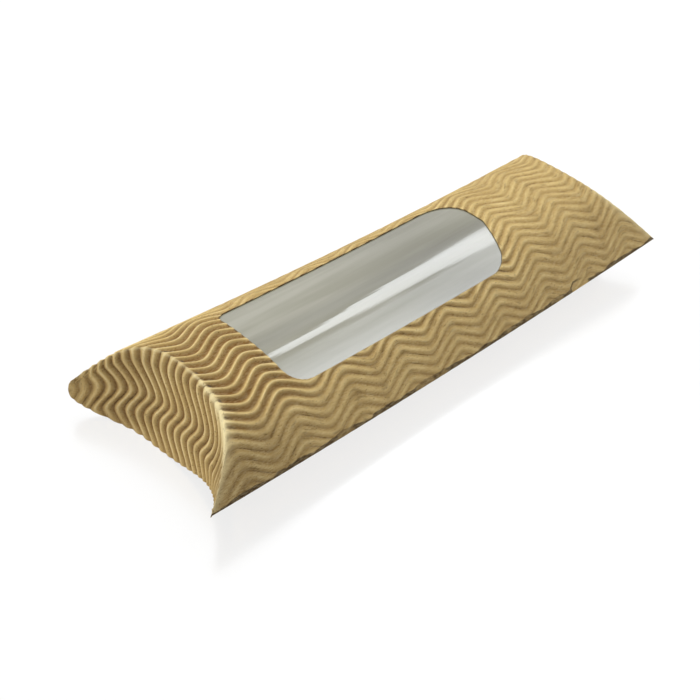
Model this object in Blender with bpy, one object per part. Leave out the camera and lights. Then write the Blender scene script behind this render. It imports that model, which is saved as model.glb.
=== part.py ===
"""Sandwich pillow box of single-face corrugated kraft board, with a film window.

One die-cut blank is folded and glued into a sleeve, and each end is closed by two
flaps on curved creases. The board has two plies: a flat liner inside and a wavy
fluted sheet outside, glued to the liner along its valleys. Each panel of the blank
is one liner solid and one fluted solid, split at the creases.

Frame: +X along the box, +Y across it from the seam side to the folded side, +Z up.
The origin is at the middle of the box on the surface it stands on. Metres.

Every ply is drawn on the flat blank, as (across, along), cut there along the creases,
the edges and the window, and then laid on the curved surface of its panel.
"""

import math

import bmesh
import bpy
import numpy as np

# Sleeve
box_length = 0.2105
left_span = 0.0730
left_rise = 0.0187
right_rise = 0.0237
side_height = 0.0126
side_bow = 0.0019
crown_share = 0.746
floor_flat_share = 0.55
floor_side_power = 2.3

# End creases and flaps
left_crease_depth = 0.0203
right_crease_depth = 0.0226
cover_flap_length = 0.0312
cover_flap_power = 2.8
cover_flap_reach_share = 0.965
cover_flap_lean = math.radians(13.5)
cover_flap_clearance = 0.0012
tuck_flap_length = 0.0170
tuck_flap_power = 2.2
tuck_flap_reach_share = 0.62
tuck_flap_lean = math.radians(4.0)

# Board
flute_pitch = 0.0035
flute_height = 0.0011
flute_foot = 0.0005
rest_reach = 0.0120
flute_ply = 0.00025
liner_ply = 0.0004
glue_ply = 0.0002
seat_gap = 0.0003

# Wave of the flutes along the box
wave_length = 0.02235
wave_sway = 0.0027
wave_start = -0.0904

# Seam
seam_tab_width = 0.0110
seam_tab_end_gap = 0.0080
seam_tab_taper_share = 0.8
seam_glue_edge = 0.0020

# Window, measured on the flat blank from its centre
window_length = 0.1010
window_width = 0.0404
window_shift_along = -0.0125
window_shift_across = -0.0036
window_left_front_radius = 0.0060
window_left_back_radius = 0.0025
window_right_front_radius = 0.0170
window_right_back_radius = 0.0110
film_margin = 0.0060
film_glue_edge = 0.0015
film_ply = 0.0002

# Fineness of the model
table_steps = 480
table_reach_share = 1.25
liner_columns = 22
liner_rows = 6
corner_rows = 4
probe_step = flute_pitch / 100
cut_snap = seat_gap / 8
halvings = 30

# Depths below the crests of the flutes
liner_depth = flute_height + flute_ply + seat_gap
board_depth = liner_depth + liner_ply
glue_depth = board_depth + seat_gap
lap_depth = glue_depth + glue_ply + seat_gap
film_depth = glue_depth + glue_ply + seat_gap

half_length = box_length / 2
half_gap = seat_gap / 2
overrun = wave_length


def crown(reach):
    """Height share of the arched top across its span, 1 in the middle and 0 at the folds."""
    return (1 - reach**2) * (1 + crown_share * reach**2)


def dish(reach):
    """Depth share of the bottom: flat in the middle, turning up to the side folds."""
    beyond = np.clip((np.abs(reach) - floor_flat_share) / (1 - floor_flat_share), 0, None)
    return 1 - beyond**floor_side_power


class EndSection:
    """The section of a panel at one end, tabulated by its share of the flat half width."""

    def __init__(self, shape, half_span, height, middle=0.0):
        reach = np.linspace(-table_reach_share, table_reach_share, table_steps + 1)
        self.reach = reach
        self.across = middle + half_span * reach
        self.up = height * shape(reach)
        steps = np.hypot(np.diff(self.across), np.diff(self.up))
        length = np.concatenate([[0], np.cumsum(steps)])
        length -= np.interp(0, reach, length)
        self.half_width = np.interp(1, reach, length)
        self.share = length / self.half_width

    def at(self, share):
        """Place across and height, relative to the side folds, at a share of the width."""
        return np.interp(share, self.share, self.across), np.interp(share, self.share, self.up)


def half_span_for(width, rise):
    """Half span at which the arched section of this rise has the given half width."""
    low = width / 4
    high = width
    for _ in range(halvings):
        middle = (low + high) / 2
        if EndSection(crown, middle, rise).half_width < width:
            low = middle
        else:
            high = middle
    return (low + high) / 2


def fold_height(along):
    """Height of the side folds above the table, lowest in the middle of the box."""
    share = along / half_length
    return side_height - side_bow * (1 - share**2)


left_half_span = left_span / 2
left_crown = EndSection(crown, left_half_span, left_rise)
right_half_span = half_span_for(left_crown.half_width, right_rise)
right_crown = EndSection(crown, right_half_span, right_rise)


def edge_slope(section):
    """Slope of a section at its fold."""
    rise = np.interp(1, section.reach, np.gradient(section.up, section.reach))
    run = np.interp(1, section.reach, np.gradient(section.across, section.reach))
    return math.atan2(abs(rise), run)


def lap_inset(section):
    """How far the seam side of the bottom lies inside the lapping edge of the top."""
    return lap_depth / math.sin(edge_slope(section))


def floor_section(section, half_span):
    """Section of the bottom panel under an end section of the top panel."""
    inset = lap_inset(section)
    return EndSection(dish, half_span - inset / 2, -side_height, inset / 2)


left_dish = floor_section(left_crown, left_half_span)
right_dish = floor_section(right_crown, right_half_span)


def crease_inset(across, end):
    """How far the curved creases lie inside the ears. The left end is -1, the right 1."""
    half_span, depth = (
        (left_half_span, left_crease_depth) if end < 0 else (right_half_span, right_crease_depth)
    )
    return depth * crown(across / half_span)


def past_crease(points, end):
    """Distance outside the creases in plan, towards the end of the box."""
    across = points[:, 1]
    inset = crease_inset(across, end)
    change = crease_inset(across + probe_step, end) - crease_inset(across - probe_step, end)
    slope = change / (2 * probe_step)
    return (end * points[:, 0] - half_length + inset) / np.sqrt(1 + slope**2)


class Surface:
    """A curved surface that the flat blank is laid on, at the crests of its flutes."""

    def __init__(self, half_width, facing):
        self.half_width = half_width
        self.facing = facing

    def base(self, across, along):
        raise NotImplementedError

    def place(self, across, along, depth):
        """Points of the blank, sunk below the crests by depth."""
        step = probe_step
        side = self.base(across + step, along) - self.base(across - step, along)
        lengthwise = self.base(across, along + step) - self.base(across, along - step)
        normal = np.cross(lengthwise, side)
        normal *= self.facing / np.linalg.norm(normal, axis=1)[:, None]
        return self.base(across, along) - np.asarray(depth)[..., None] * normal


class Panel(Surface):
    """The top or bottom of the sleeve, between its two curved creases."""

    def __init__(self, left, right, facing):
        super().__init__(left.half_width, facing)
        self.left = left
        self.right = right

    def crease_point(self, share, end):
        section = self.left if end < 0 else self.right
        across, up = section.at(share)
        along = end * (half_length - crease_inset(across, end))
        return np.stack([along, across, up + side_height], axis=-1)

    def base(self, across, along):
        share = across / self.half_width
        start = self.crease_point(share, -1)
        stop = self.crease_point(share, 1)
        part = ((along - start[:, 0]) / (stop[:, 0] - start[:, 0]))[:, None]
        points = start + (stop - start) * part
        droop = 4 * side_bow * part[:, 0] * (1 - part[:, 0])
        points[:, 2] -= droop * self.bow_share(share)
        return points

    def bow_share(self, share):
        """Share of the side folds' bow that this part of the panel follows."""
        return np.ones_like(share) if self.facing > 0 else self.side_share(share)

    def side_share(self, share):
        """0 where the bottom lies flat, 1 at its side folds."""
        reach = np.interp(share, self.left.share, self.left.reach)
        return 1 - dish(reach)


class Flap(Surface):
    """An end flap, ruled from the crease of its panel along one direction."""

    def __init__(self, panel, end, direction, facing):
        super().__init__(panel.half_width, facing)
        self.panel = panel
        self.end = end
        self.direction = np.array(direction)

    def reach(self, across, along):
        """Distance of places on the blank past the crease."""
        root = self.panel.crease_point(across / self.half_width, self.end)
        return self.end * (along - root[:, 0])

    def base(self, across, along):
        root = self.panel.crease_point(across / self.half_width, self.end)
        return root + self.reach(across, along)[:, None] * self.direction


top = Panel(left_crown, right_crown, 1)
bottom = Panel(left_dish, right_dish, -1)


def cover_flap_surface(end):
    """The outer flap hangs from the top's crease and leans out towards its free edge."""
    direction = (end * math.sin(cover_flap_lean), 0, -math.cos(cover_flap_lean))
    return Flap(top, end, direction, 1)


def tuck_flap_surface(end):
    """The inner flap stands up from the bottom's crease, behind the outer flap."""
    direction = (-end * math.sin(tuck_flap_lean), 0, math.cos(tuck_flap_lean))
    return Flap(bottom, end, direction, -1)


def sway(along):
    """Sideways swing of the flutes: a zigzag along the box."""
    turns = (along - wave_start) / wave_length
    return wave_sway * (4 * np.abs(turns - np.floor(turns + 0.5)) - 1) * -1


def flute_columns(half_width, flat_reach=0.0):
    """Crests and valleys across a panel as places across and depths.

    Flutes whose whole swing stays inside flat_reach have a crest pressed flat.
    """
    count = round(2 * half_width / flute_pitch)
    pitch = 2 * half_width / count
    extra = math.ceil(wave_sway / pitch) + 1
    places = []
    depths = []
    for number in range(-extra, count + extra):
        crest = -half_width + (number + 0.5) * pitch
        footed = abs(crest) + wave_sway + flute_foot < flat_reach
        feet = (-flute_foot / 2, flute_foot / 2) if footed else (0.0,)
        places += [crest - pitch / 2] + [crest + foot for foot in feet]
        depths += [flute_height] + [0.0] * len(feet)
    return np.array(places), np.array(depths)


def wave_rows(start, stop):
    """Rows at the turns of the wave, enough to reach past both ends."""
    half_wave = wave_length / 2
    first = math.floor((start - wave_start) / half_wave)
    last = math.ceil((stop - wave_start) / half_wave)
    return [wave_start + number * half_wave for number in range(first, last + 1)]


def clip(points, faces, keep):
    """Cut a flat mesh along the line where keep is zero, and drop where it is negative."""
    value = keep(points[:, 0], points[:, 1])
    value[np.abs(value) < cut_snap] = 0.0
    crossings = {}
    kept = []
    for face in faces:
        ring = []
        for here, there in zip(face, face[1:] + face[:1]):
            if value[here] >= 0:
                ring.append(here)
            if value[here] * value[there] < 0:
                edge = (here, there) if value[here] < 0 else (there, here)
                ring.append(crossings.setdefault(edge, len(points) + len(crossings)))
        inside = any(index < len(points) and value[index] > 0 for index in ring)
        if inside and len(ring) > 2:
            kept.append(ring)
    if crossings:
        ends = np.array(list(crossings))
        outer = points[ends[:, 0]]
        inner = points[ends[:, 1]]
        for _ in range(halvings):
            middle = (outer + inner) / 2
            good = (keep(middle[:, 0], middle[:, 1]) >= 0)[:, None]
            inner = np.where(good, middle, inner)
            outer = np.where(good, outer, middle)
        points = np.concatenate([points, inner])
    return points, kept


def in_plane_lead(points, end):
    """How far points lie past the top's crease, towards the middle, square to the fold.

    The crease lies in a tilted plane, and the fold is mitred square to that plane.
    """
    section, depth, rise = (
        (left_crown, left_crease_depth, left_rise)
        if end < 0
        else (right_crown, right_crease_depth, right_rise)
    )
    size = math.hypot(depth, rise)
    inset = half_length - end * points[:, 0]
    climb = (inset * depth + (points[:, 2] - side_height) * rise) / size
    curve = size * crown(section.reach)
    slope = np.gradient(curve, section.across)
    lead = climb - np.interp(points[:, 1], section.across, curve)
    return lead / np.sqrt(1 + np.interp(points[:, 1], section.across, slope) ** 2)


def floor_lead(points, end):
    """Distance from the mitre of the inner flap's fold, positive on the bottom's side."""
    section = left_dish if end < 0 else right_dish
    rise = side_height + section.up
    steepness = np.interp(points[:, 1], section.across, np.gradient(rise, section.across))
    height = points[:, 2] - np.interp(points[:, 1], section.across, rise)
    height /= np.sqrt(1 + steepness**2)
    half_angle = (math.pi / 2 - tuck_flap_lean) / 2
    return -past_crease(points, end) * math.sin(half_angle) - height * math.cos(half_angle)


def window_lead(across, along):
    """Distance outside the window's outline, which has a radius of its own at each corner."""
    across = across - window_shift_across
    along = along - window_shift_along
    left_radius = np.where(across < 0, window_left_front_radius, window_left_back_radius)
    right_radius = np.where(across < 0, window_right_front_radius, window_right_back_radius)
    radius = np.where(along < 0, left_radius, right_radius)
    past_along = np.abs(along) - (window_length / 2 - radius)
    past_across = np.abs(across) - (window_width / 2 - radius)
    corner = np.hypot(np.clip(past_along, 0, None), np.clip(past_across, 0, None))
    return corner + np.minimum(np.maximum(past_along, past_across), 0) - radius


def smooth_rows():
    """Rows for a smooth sheet: even ones."""
    return list(np.linspace(-half_length - overrun, half_length + overrun, liner_rows + 1))


def window_rows():
    """Rows for the sheet round the window: even ones, and close ones along its corners."""
    rows = smooth_rows()
    start = window_shift_along - window_length / 2
    stop = window_shift_along + window_length / 2
    rows = [row for row in rows if not start - film_margin < row < stop + film_margin]
    left_radius = max(window_left_front_radius, window_left_back_radius)
    right_radius = max(window_right_front_radius, window_right_back_radius)
    for step in range(corner_rows + 1):
        rise = 1 - math.cos(step / corner_rows * math.pi / 2)
        rows += [start + left_radius * rise, stop - right_radius * rise]
    rows += [start - film_margin, window_shift_along, stop + film_margin]
    return sorted(rows)


def drop_pinched(work):
    """Where two corners of a sheet meet in one point only, drop the smallest of them."""
    pinched = True
    while pinched:
        pinched = {
            min(vertex.link_faces, key=lambda face: face.calc_area())
            for vertex in work.verts
            if sum(edge.is_boundary for edge in vertex.link_edges) > 2
        }
        bmesh.ops.delete(work, geom=list(pinched), context="FACES")


def drop_scraps(work):
    """Keep the largest body: a corner of a flute that a cut leaves at an ear falls off."""
    unseen = set(work.faces)
    bodies = []
    while unseen:
        body = [unseen.pop()]
        for face in body:
            near = {other for edge in face.edges for other in edge.link_faces} & unseen
            unseen -= near
            body += near
        bodies.append(body)
    bodies.sort(key=len)
    strays = [face for body in bodies[:-1] for face in body]
    bmesh.ops.delete(work, geom=strays, context="FACES")
    loose = [vertex for vertex in work.verts if not vertex.link_faces]
    bmesh.ops.delete(work, geom=loose, context="VERTS")


class Sheet:
    """A ply on its surface: a flat grid, the depth of its outer face and its cuts."""

    def __init__(self, surface, columns, depths, rows, swaying, ply):
        self.surface = surface
        self.columns = np.array(columns)
        self.depths = np.array(depths)
        self.swaying = swaying
        self.ply = ply
        count = len(self.columns)
        self.points = np.array(
            [(place + self.shift(row), row) for row in rows for place in self.columns]
        )
        self.faces = [
            [first, first + 1, first + count + 1, first + count]
            for line in range(len(rows) - 1)
            for first in range(line * count, line * count + count - 1)
        ]

    def shift(self, along):
        return sway(along) if self.swaying else 0 * along

    def depth(self, across, along):
        return np.interp(across - self.shift(along), self.columns, self.depths)

    def inner_points(self, across, along):
        """Points of the inner face, which is the first to meet a neighbour at a fold."""
        return self.surface.place(across, along, self.depth(across, along) + self.ply)

    def cut(self, keep):
        self.points, self.faces = clip(self.points, self.faces, keep)

    def cut_solid(self, keep):
        """Cut where a function of the inner face's points in space is negative."""
        self.cut(lambda across, along: keep(self.inner_points(across, along)))

    def cut_clear(self, keep):
        """Cut where a function of points level with the valleys' inner face is negative."""
        deepest = self.depths.max() + self.ply
        self.cut(lambda across, along: keep(self.surface.place(across, along, deepest)))

    def lay(self, vertices, sunk):
        """Move vertices from the flat blank onto the surface, sunk below the outer face."""
        flat = np.array([vertex.co for vertex in vertices])
        across, along = flat[:, 0], flat[:, 1]
        places = self.surface.place(across, along, self.depth(across, along) + sunk)
        for vertex, place in zip(vertices, places):
            vertex.co = place

    def build(self, name, material):
        """Extrude the flat outline, and lay its two faces on the surface, a ply apart."""
        work = bmesh.new()
        corners = [work.verts.new((across, along, 0)) for across, along in self.points]
        for face in self.faces:
            work.faces.new([corners[index] for index in face])
        drop_pinched(work)
        drop_scraps(work)
        bmesh.ops.triangulate(work, faces=work.faces)
        outer = list(work.verts)
        grown = bmesh.ops.extrude_face_region(work, geom=list(work.faces), use_keep_orig=True)
        inner = [item for item in grown["geom"] if isinstance(item, bmesh.types.BMVert)]
        self.lay(outer, 0.0)
        self.lay(inner, self.ply)
        bmesh.ops.recalc_face_normals(work, faces=work.faces)
        if work.calc_volume(signed=True) < 0:
            bmesh.ops.reverse_faces(work, faces=work.faces)
        mesh = bpy.data.meshes.new(name)
        work.to_mesh(mesh)
        work.free()
        mesh.materials.append(material)
        piece = bpy.data.objects.new(name, mesh)
        bpy.context.scene.collection.objects.link(piece)
        return piece


def fluted_sheet(surface, start, stop, flat_reach=0.0, sunk=0.0):
    """A fluted ply between two places along, with its flutes' wave on the blank's."""
    places, depths = flute_columns(surface.half_width, flat_reach)
    return Sheet(surface, places, depths + sunk, wave_rows(start, stop), True, flute_ply)


def plain_sheet(surface, rows, depth, ply):
    """A smooth sheet at one depth, with even columns."""
    reach = surface.half_width * table_reach_share
    columns = np.linspace(-reach, reach, liner_columns + 1)
    return Sheet(surface, columns, np.full(len(columns), depth), rows, False, ply)


def liner_sheet(surface, rows, sunk=0.0):
    """The flat ply inside the flutes."""
    return plain_sheet(surface, rows, liner_depth + sunk, liner_ply)


def cut_top(sheet):
    """Trim a top sheet at its side folds, its creases and the window."""
    sheet.cut(window_lead)
    sheet.cut_solid(lambda points: points[:, 2] - fold_height(points[:, 0]) - half_gap)
    for end in (-1, 1):
        sheet.cut_solid(lambda points: in_plane_lead(points, end) - half_gap)


def cut_bottom(sheet):
    """Trim a bottom sheet at its side folds and its creases."""
    sheet.cut_solid(lambda points: fold_height(points[:, 0]) - half_gap - points[:, 2])
    for end in (-1, 1):
        sheet.cut_solid(lambda points: floor_lead(points, end) - half_gap)


def cut_seam_tab(sheet, edge=0.0):
    """Trim a sheet of the seam tab: its fold, its free edge and its tapered ends."""
    half_width = sheet.surface.half_width
    sheet.cut_solid(lambda points: points[:, 2] - fold_height(points[:, 0]) - half_gap - edge)
    sheet.cut(lambda across, along: seam_tab_width - edge - half_width - across)
    for end in (-1, 1):
        sheet.cut(
            lambda across, along: half_length
            - seam_tab_end_gap
            - edge
            - (across + half_width) * (1 + seam_tab_taper_share)
            - end * along
        )


def cut_cover_flap(sheet, end):
    """Trim a sheet of the outer flap at the crease, its free edge and its two tips."""
    half_width = sheet.surface.half_width

    def free_edge(across, along):
        length = cover_flap_length * (1 - np.abs(across / half_width) ** cover_flap_power)
        return length - sheet.surface.reach(across, along)

    def clear_of_bottom(points):
        above = points[:, 2] - fold_height(points[:, 0])
        return np.maximum(past_crease(points, end), above) - cover_flap_clearance

    sheet.cut_solid(lambda points: -in_plane_lead(points, end) - half_gap)
    sheet.cut(lambda across, along: half_width * cover_flap_reach_share - np.abs(across))
    sheet.cut(free_edge)
    sheet.cut_clear(clear_of_bottom)


def cut_tuck_flap(sheet, end):
    """Trim a sheet of the inner flap at the crease and along its arched free edge."""
    half_width = sheet.surface.half_width

    def free_edge(across, along):
        share = np.abs(across) / (half_width * tuck_flap_reach_share)
        length = tuck_flap_length * (1 - share**tuck_flap_power)
        return length - sheet.surface.reach(across, along)

    sheet.cut(free_edge)
    sheet.cut(lambda across, along: half_width * tuck_flap_reach_share - np.abs(across))
    sheet.cut_solid(lambda points: -floor_lead(points, end) - half_gap)


def paint(name, colour, roughness, see_through=0.0):
    """A Principled material of one colour."""
    material = bpy.data.materials.new(name)
    material.use_nodes = True
    shader = material.node_tree.nodes["Principled BSDF"]
    shader.inputs["Base Color"].default_value = (*colour, 1)
    shader.inputs["Roughness"].default_value = roughness
    shader.inputs["Transmission Weight"].default_value = see_through
    return material


def hinge_empty(name, along, up):
    """An empty on a flap's fold line, which carries the flap's pieces."""
    empty = bpy.data.objects.new(name, None)
    empty.location = (along, 0, up)
    bpy.context.scene.collection.objects.link(empty)
    return empty


def carry(piece, empty):
    """Parent a piece to its hinge, and put the piece's origin on it."""
    piece.data.transform(empty.matrix_basis.inverted())
    piece.parent = empty


def cover_fold(end):
    """Place along and height of the outer flap's fold line, at the top of its crease."""
    along, _, up = top.crease_point(0.0, end)
    return along, up


def tuck_fold(end):
    """Place along and height of the inner flap's fold line, through its root's outer ends."""
    ends = [bottom.crease_point(side * tuck_flap_reach_share, end)[0] for side in (-1, 1)]
    return end * max(end * along for along in ends), 0.0


def build_sleeve(kraft, liner_kraft, film, glue):
    """The glued sleeve: top, bottom, seam tab, window film and the glue under both."""
    start = -half_length - overrun
    stop = half_length + overrun

    sheet = fluted_sheet(top, start, stop)
    cut_top(sheet)
    sheet.build("top_flutes", kraft)

    sheet = liner_sheet(top, window_rows())
    cut_top(sheet)
    sheet.build("top_liner", liner_kraft)

    sheet = fluted_sheet(bottom, start, stop, rest_reach)
    cut_bottom(sheet)
    sheet.build("bottom_flutes", kraft)

    sheet = liner_sheet(bottom, smooth_rows())
    cut_bottom(sheet)
    sheet.build("bottom_liner", liner_kraft)

    sheet = fluted_sheet(top, start, stop, sunk=lap_depth)
    cut_seam_tab(sheet)
    sheet.build("seam_tab_flutes", kraft)

    sheet = liner_sheet(top, smooth_rows(), sunk=lap_depth)
    cut_seam_tab(sheet)
    sheet.build("seam_tab_liner", liner_kraft)

    sheet = plain_sheet(top, smooth_rows(), glue_depth, glue_ply)
    cut_seam_tab(sheet, seam_glue_edge)
    sheet.build("seam_glue", glue)

    sheet = plain_sheet(top, window_rows(), film_depth, film_ply)
    sheet.cut(lambda across, along: film_margin - window_lead(across, along))
    sheet.build("window_film", film)

    sheet = plain_sheet(top, window_rows(), glue_depth, glue_ply)
    sheet.cut(lambda across, along: film_margin - film_glue_edge - window_lead(across, along))
    sheet.cut(lambda across, along: window_lead(across, along) - film_glue_edge)
    sheet.build("film_glue", glue)


def build_end(side, end, kraft, liner_kraft):
    """The outer and inner flap of one end, each on its own fold line."""
    fold = hinge_empty(f"{side}_cover_flap_fold", *cover_fold(end))
    surface = cover_flap_surface(end)
    low, high = sorted((end * (half_length - overrun * 2), end * (half_length + cover_flap_length)))
    sheets = {
        "flutes": (fluted_sheet(surface, low, high), kraft),
        "liner": (liner_sheet(surface, list(np.linspace(low, high, liner_rows + 1))), liner_kraft),
    }
    for ply, (sheet, material) in sheets.items():
        cut_cover_flap(sheet, end)
        carry(sheet.build(f"{side}_cover_flap_{ply}", material), fold)

    fold = hinge_empty(f"{side}_tuck_flap_fold", *tuck_fold(end))
    surface = tuck_flap_surface(end)
    sheets = {
        "flutes": (fluted_sheet(surface, low, high), kraft),
        "liner": (liner_sheet(surface, list(np.linspace(low, high, liner_rows + 1))), liner_kraft),
    }
    for ply, (sheet, material) in sheets.items():
        cut_tuck_flap(sheet, end)
        carry(sheet.build(f"{side}_tuck_flap_{ply}", material), fold)


def main():
    for old in list(bpy.data.objects):
        bpy.data.objects.remove(old, do_unlink=True)
    kraft = paint("fluted_kraft", (0.52, 0.38, 0.19), 0.85)
    liner_kraft = paint("liner_kraft", (0.58, 0.43, 0.24), 0.8)
    film = paint("clear_film", (0.9, 0.92, 0.9), 0.08, see_through=1.0)
    glue = paint("dried_glue", (0.86, 0.83, 0.74), 0.45)
    build_sleeve(kraft, liner_kraft, film, glue)
    build_end("left", -1, kraft, liner_kraft)
    build_end("right", 1, kraft, liner_kraft)


main()
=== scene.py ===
"""Sandwich pillow box of wavy fluted kraft board, with a film window in its top.

The board is drawn as a flat blank, cut there along its edges, folds and window, and
laid on the curved surfaces of the box. Geometry Nodes then raise the wavy flutes on
it and give it the thickness of the paper. Metres, +X along the box, +Z up.
"""

import logging
import math
from dataclasses import dataclass
from enum import Enum
from typing import Callable, Sequence

import bmesh
import bpy
import numpy as np
from mathutils import Matrix, Vector


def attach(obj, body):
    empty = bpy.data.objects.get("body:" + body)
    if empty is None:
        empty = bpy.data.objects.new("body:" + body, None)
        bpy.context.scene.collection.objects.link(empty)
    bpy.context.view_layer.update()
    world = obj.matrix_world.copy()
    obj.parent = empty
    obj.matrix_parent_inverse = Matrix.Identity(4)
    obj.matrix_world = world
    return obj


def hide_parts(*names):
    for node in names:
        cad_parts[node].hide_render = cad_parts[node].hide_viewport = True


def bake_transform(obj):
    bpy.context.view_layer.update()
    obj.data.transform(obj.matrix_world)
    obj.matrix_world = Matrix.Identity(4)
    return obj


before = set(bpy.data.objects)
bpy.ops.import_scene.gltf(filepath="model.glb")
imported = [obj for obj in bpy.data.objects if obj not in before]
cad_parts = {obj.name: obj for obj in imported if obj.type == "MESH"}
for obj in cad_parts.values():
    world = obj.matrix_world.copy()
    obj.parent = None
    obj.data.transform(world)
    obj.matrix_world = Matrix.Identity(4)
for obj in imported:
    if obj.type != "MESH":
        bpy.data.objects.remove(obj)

log = logging.getLogger("sandwich_box")
Array = np.ndarray
Colour = tuple[float, float, float]
Keep = Callable[[Array, Array], Array]
Span = tuple[float, float]
FULL_TURN = 2 * math.pi
SECTION_REACH = 1.25
SECTION_POINTS = 961
WIDTH_ROUNDS = 40
SPARE_STEPS = 12
SPARE_SHARE = 1.02
LOW_SIDE = -0.030  # Place across by which the front half of a crease is pressed widest.
SWAY_ROUNDS = 12
CUT_ROUNDS = 22
CUT_SNAP = 1e-5
STEPS_PER_FLUTE = 8


class End(Enum):
    """The two ends of the box, by the sign of X."""

    LEFT = -1
    RIGHT = 1


class Closure(Enum):
    """The two flaps that close an end: the outer one and the one behind it."""

    COVER = "cover_flap"
    TUCK = "tuck_flap"


@dataclass(frozen=True)
class SleeveSizes:
    """Sizes of the glued sleeve and its curved surfaces."""

    length: float = 0.2105
    left_half_span: float = 0.0365
    left_rise: float = 0.0187
    right_rise: float = 0.0237
    side_height: float = 0.0126
    side_bow: float = 0.0019
    crown_share: float = 0.746
    floor_flat_share: float = 0.55
    floor_side_power: float = 2.3
    left_crease_depth: float = 0.0203
    right_crease_depth: float = 0.0226
    crease_round: float = 0.0014
    fold_round: float = 0.0009

    @property
    def half_length(self) -> float:
        """Half of the box's length."""
        return self.length / 2

    def crown(self, reach: Array) -> Array:
        """Height share of the arched top, 1 in the middle and 0 at the folds."""
        return (1 - reach**2) * (1 + self.crown_share * reach**2)

    def dish(self, reach: Array) -> Array:
        """Depth share of the bottom: flat in the middle, turning up to the folds."""
        beyond = np.clip((np.abs(reach) - self.floor_flat_share) / (1 - self.floor_flat_share), 0, None)
        return 1 - beyond**self.floor_side_power

    def fold_height(self, along: Array) -> Array:
        """Height of the side folds above the table."""
        return self.side_height - self.side_bow * (1 - (along / self.half_length) ** 2)


@dataclass(frozen=True)
class FlapSizes:
    """Sizes of the outer and inner end flaps."""

    cover_length: float = 0.0325
    cover_power: float = 2.28
    cover_skew: float = 0.183
    cover_overhang_share: float = 0.051
    cover_reach_share: float = 0.99
    cover_lean: float = math.radians(16.5)
    cover_corner: float = 0.0024
    tuck_length: float = 0.0170
    tuck_power: float = 2.2
    tuck_reach_share: float = 0.62
    tuck_lean: float = math.radians(4.0)


@dataclass(frozen=True)
class BoardSizes:
    """Plies of the board and their depths below the crests of the flutes."""

    pitch: float = 0.0035
    flute_height: float = 0.0011
    flute_ply: float = 0.00025
    liner_ply: float = 0.0004
    glue_ply: float = 0.0002
    film_ply: float = 0.0002
    gap: float = 0.0003
    liner_press: float = 0.0006
    film_lift: float = 0.00224

    @property
    def liner_depth(self) -> float:
        """Depth of the liner's outer face."""
        return self.flute_height + self.flute_ply + self.gap

    @property
    def glue_depth(self) -> float:
        """Depth of the glue's outer face."""
        return self.liner_depth + self.liner_ply + self.gap

    @property
    def lap_depth(self) -> float:
        """Depth of what lies under the glue: the seam tab or the film."""
        return self.glue_depth + self.glue_ply + self.gap


@dataclass(frozen=True)
class WaveSizes:
    """The sideways wave of the flutes along the box."""

    length: float = 0.02235
    swing: float = 0.0027
    start: float = -0.0904
    soft_corner: float = 0.72
    sharp_corner: float = 0.94
    soft_until: float = -0.060
    sharp_from: float = -0.020

    def corner(self, along: Array) -> Array:
        """How sharp the turns of the wave are: soft at the left end, sharp further on."""
        part = np.clip((along - self.soft_until) / (self.sharp_from - self.soft_until), 0, 1)
        return self.soft_corner + (self.sharp_corner - self.soft_corner) * part

    def sideways(self, along: Array) -> Array:
        """Sideways swing of the flutes.

        Args:
            along: Places along the box.

        Returns:
            The swing at each place.
        """
        sharp = self.corner(along)
        turns = (along - self.start) / self.length
        return self.swing * np.arcsin(sharp * np.cos(FULL_TURN * turns)) / np.arcsin(sharp)


@dataclass(frozen=True)
class FlapWave:
    """How the flutes of a bent flap run askew past its crease, as the near one's do."""

    drift: float = 0.0
    tilt: float = 0.0
    lag: float = 0.0
    pivot: float = 0.0060
    settled: float = 0.0050
    lag_from: float = 0.0140
    lag_until: float = 0.0240

    def along(self, across: Array, along: Array, past: Array) -> Array:
        """Places along the wave, tilted past the crease."""
        tilted = self.tilt * (across - self.pivot) * step_up(past, 0.0, self.settled)
        return along + tilted - self.lag * step_up(past, self.lag_from, self.lag_until)


@dataclass(frozen=True)
class WindowSizes:
    """The die-cut window, measured on the flat blank, and its film."""

    length: float = 0.1012
    width: float = 0.0402
    shift_along: float = -0.0123
    shift_across: float = -0.0031
    left_front_radius: float = 0.0075
    left_back_radius: float = 0.0036
    right_front_radius: float = 0.0061
    right_back_radius: float = 0.0127
    right_slant: float = 0.37
    film_margin: float = 0.0060
    liner_edge: float = 0.0020
    glue_edge: float = 0.0026

    def lead(self, across: Array, along: Array) -> Array:
        """Distance outside the window's outline.

        Args:
            across: Places across the flat blank.
            along: Places along it.

        Returns:
            The distance, negative inside the window.
        """
        across = across - self.shift_across
        along = along - self.shift_along
        along = along + np.where(along > 0, self.right_slant * np.clip(-across, 0, None), 0)
        left = np.where(across < 0, self.left_front_radius, self.left_back_radius)
        right = np.where(across < 0, self.right_front_radius, self.right_back_radius)
        radius = np.where(along < 0, left, right)
        past_along = np.abs(along) - (self.length / 2 - radius)
        past_across = np.abs(across) - (self.width / 2 - radius)
        corner = np.hypot(np.clip(past_along, 0, None), np.clip(past_across, 0, None))
        return corner + np.minimum(np.maximum(past_along, past_across), 0) - radius


def soften(past: Array, reach: float) -> Array:
    """Ramp that is 0 before a fold and grows past it, rounded within reach of the fold."""
    return np.clip(past, 0, None) + np.clip(reach - np.abs(past), 0, None) ** 2 / (4 * reach)


def step_up(value: Array, low: float, high: float) -> Array:
    """Rise smoothly from 0 at low to 1 at high."""
    part = np.clip((value - low) / (high - low), 0, 1)
    return part * part * (3 - 2 * part)


def ear_share(wrap: "Wrap", across: Array, along: Array) -> Array:
    """Share of the flutes' height that is left near the pressed tips of the ears."""
    tip = np.hypot(wrap.half_width - np.abs(across), SLEEVE.half_length - np.abs(along))
    return 0.15 + 0.85 * step_up(tip, 0.002, 0.014)


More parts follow.
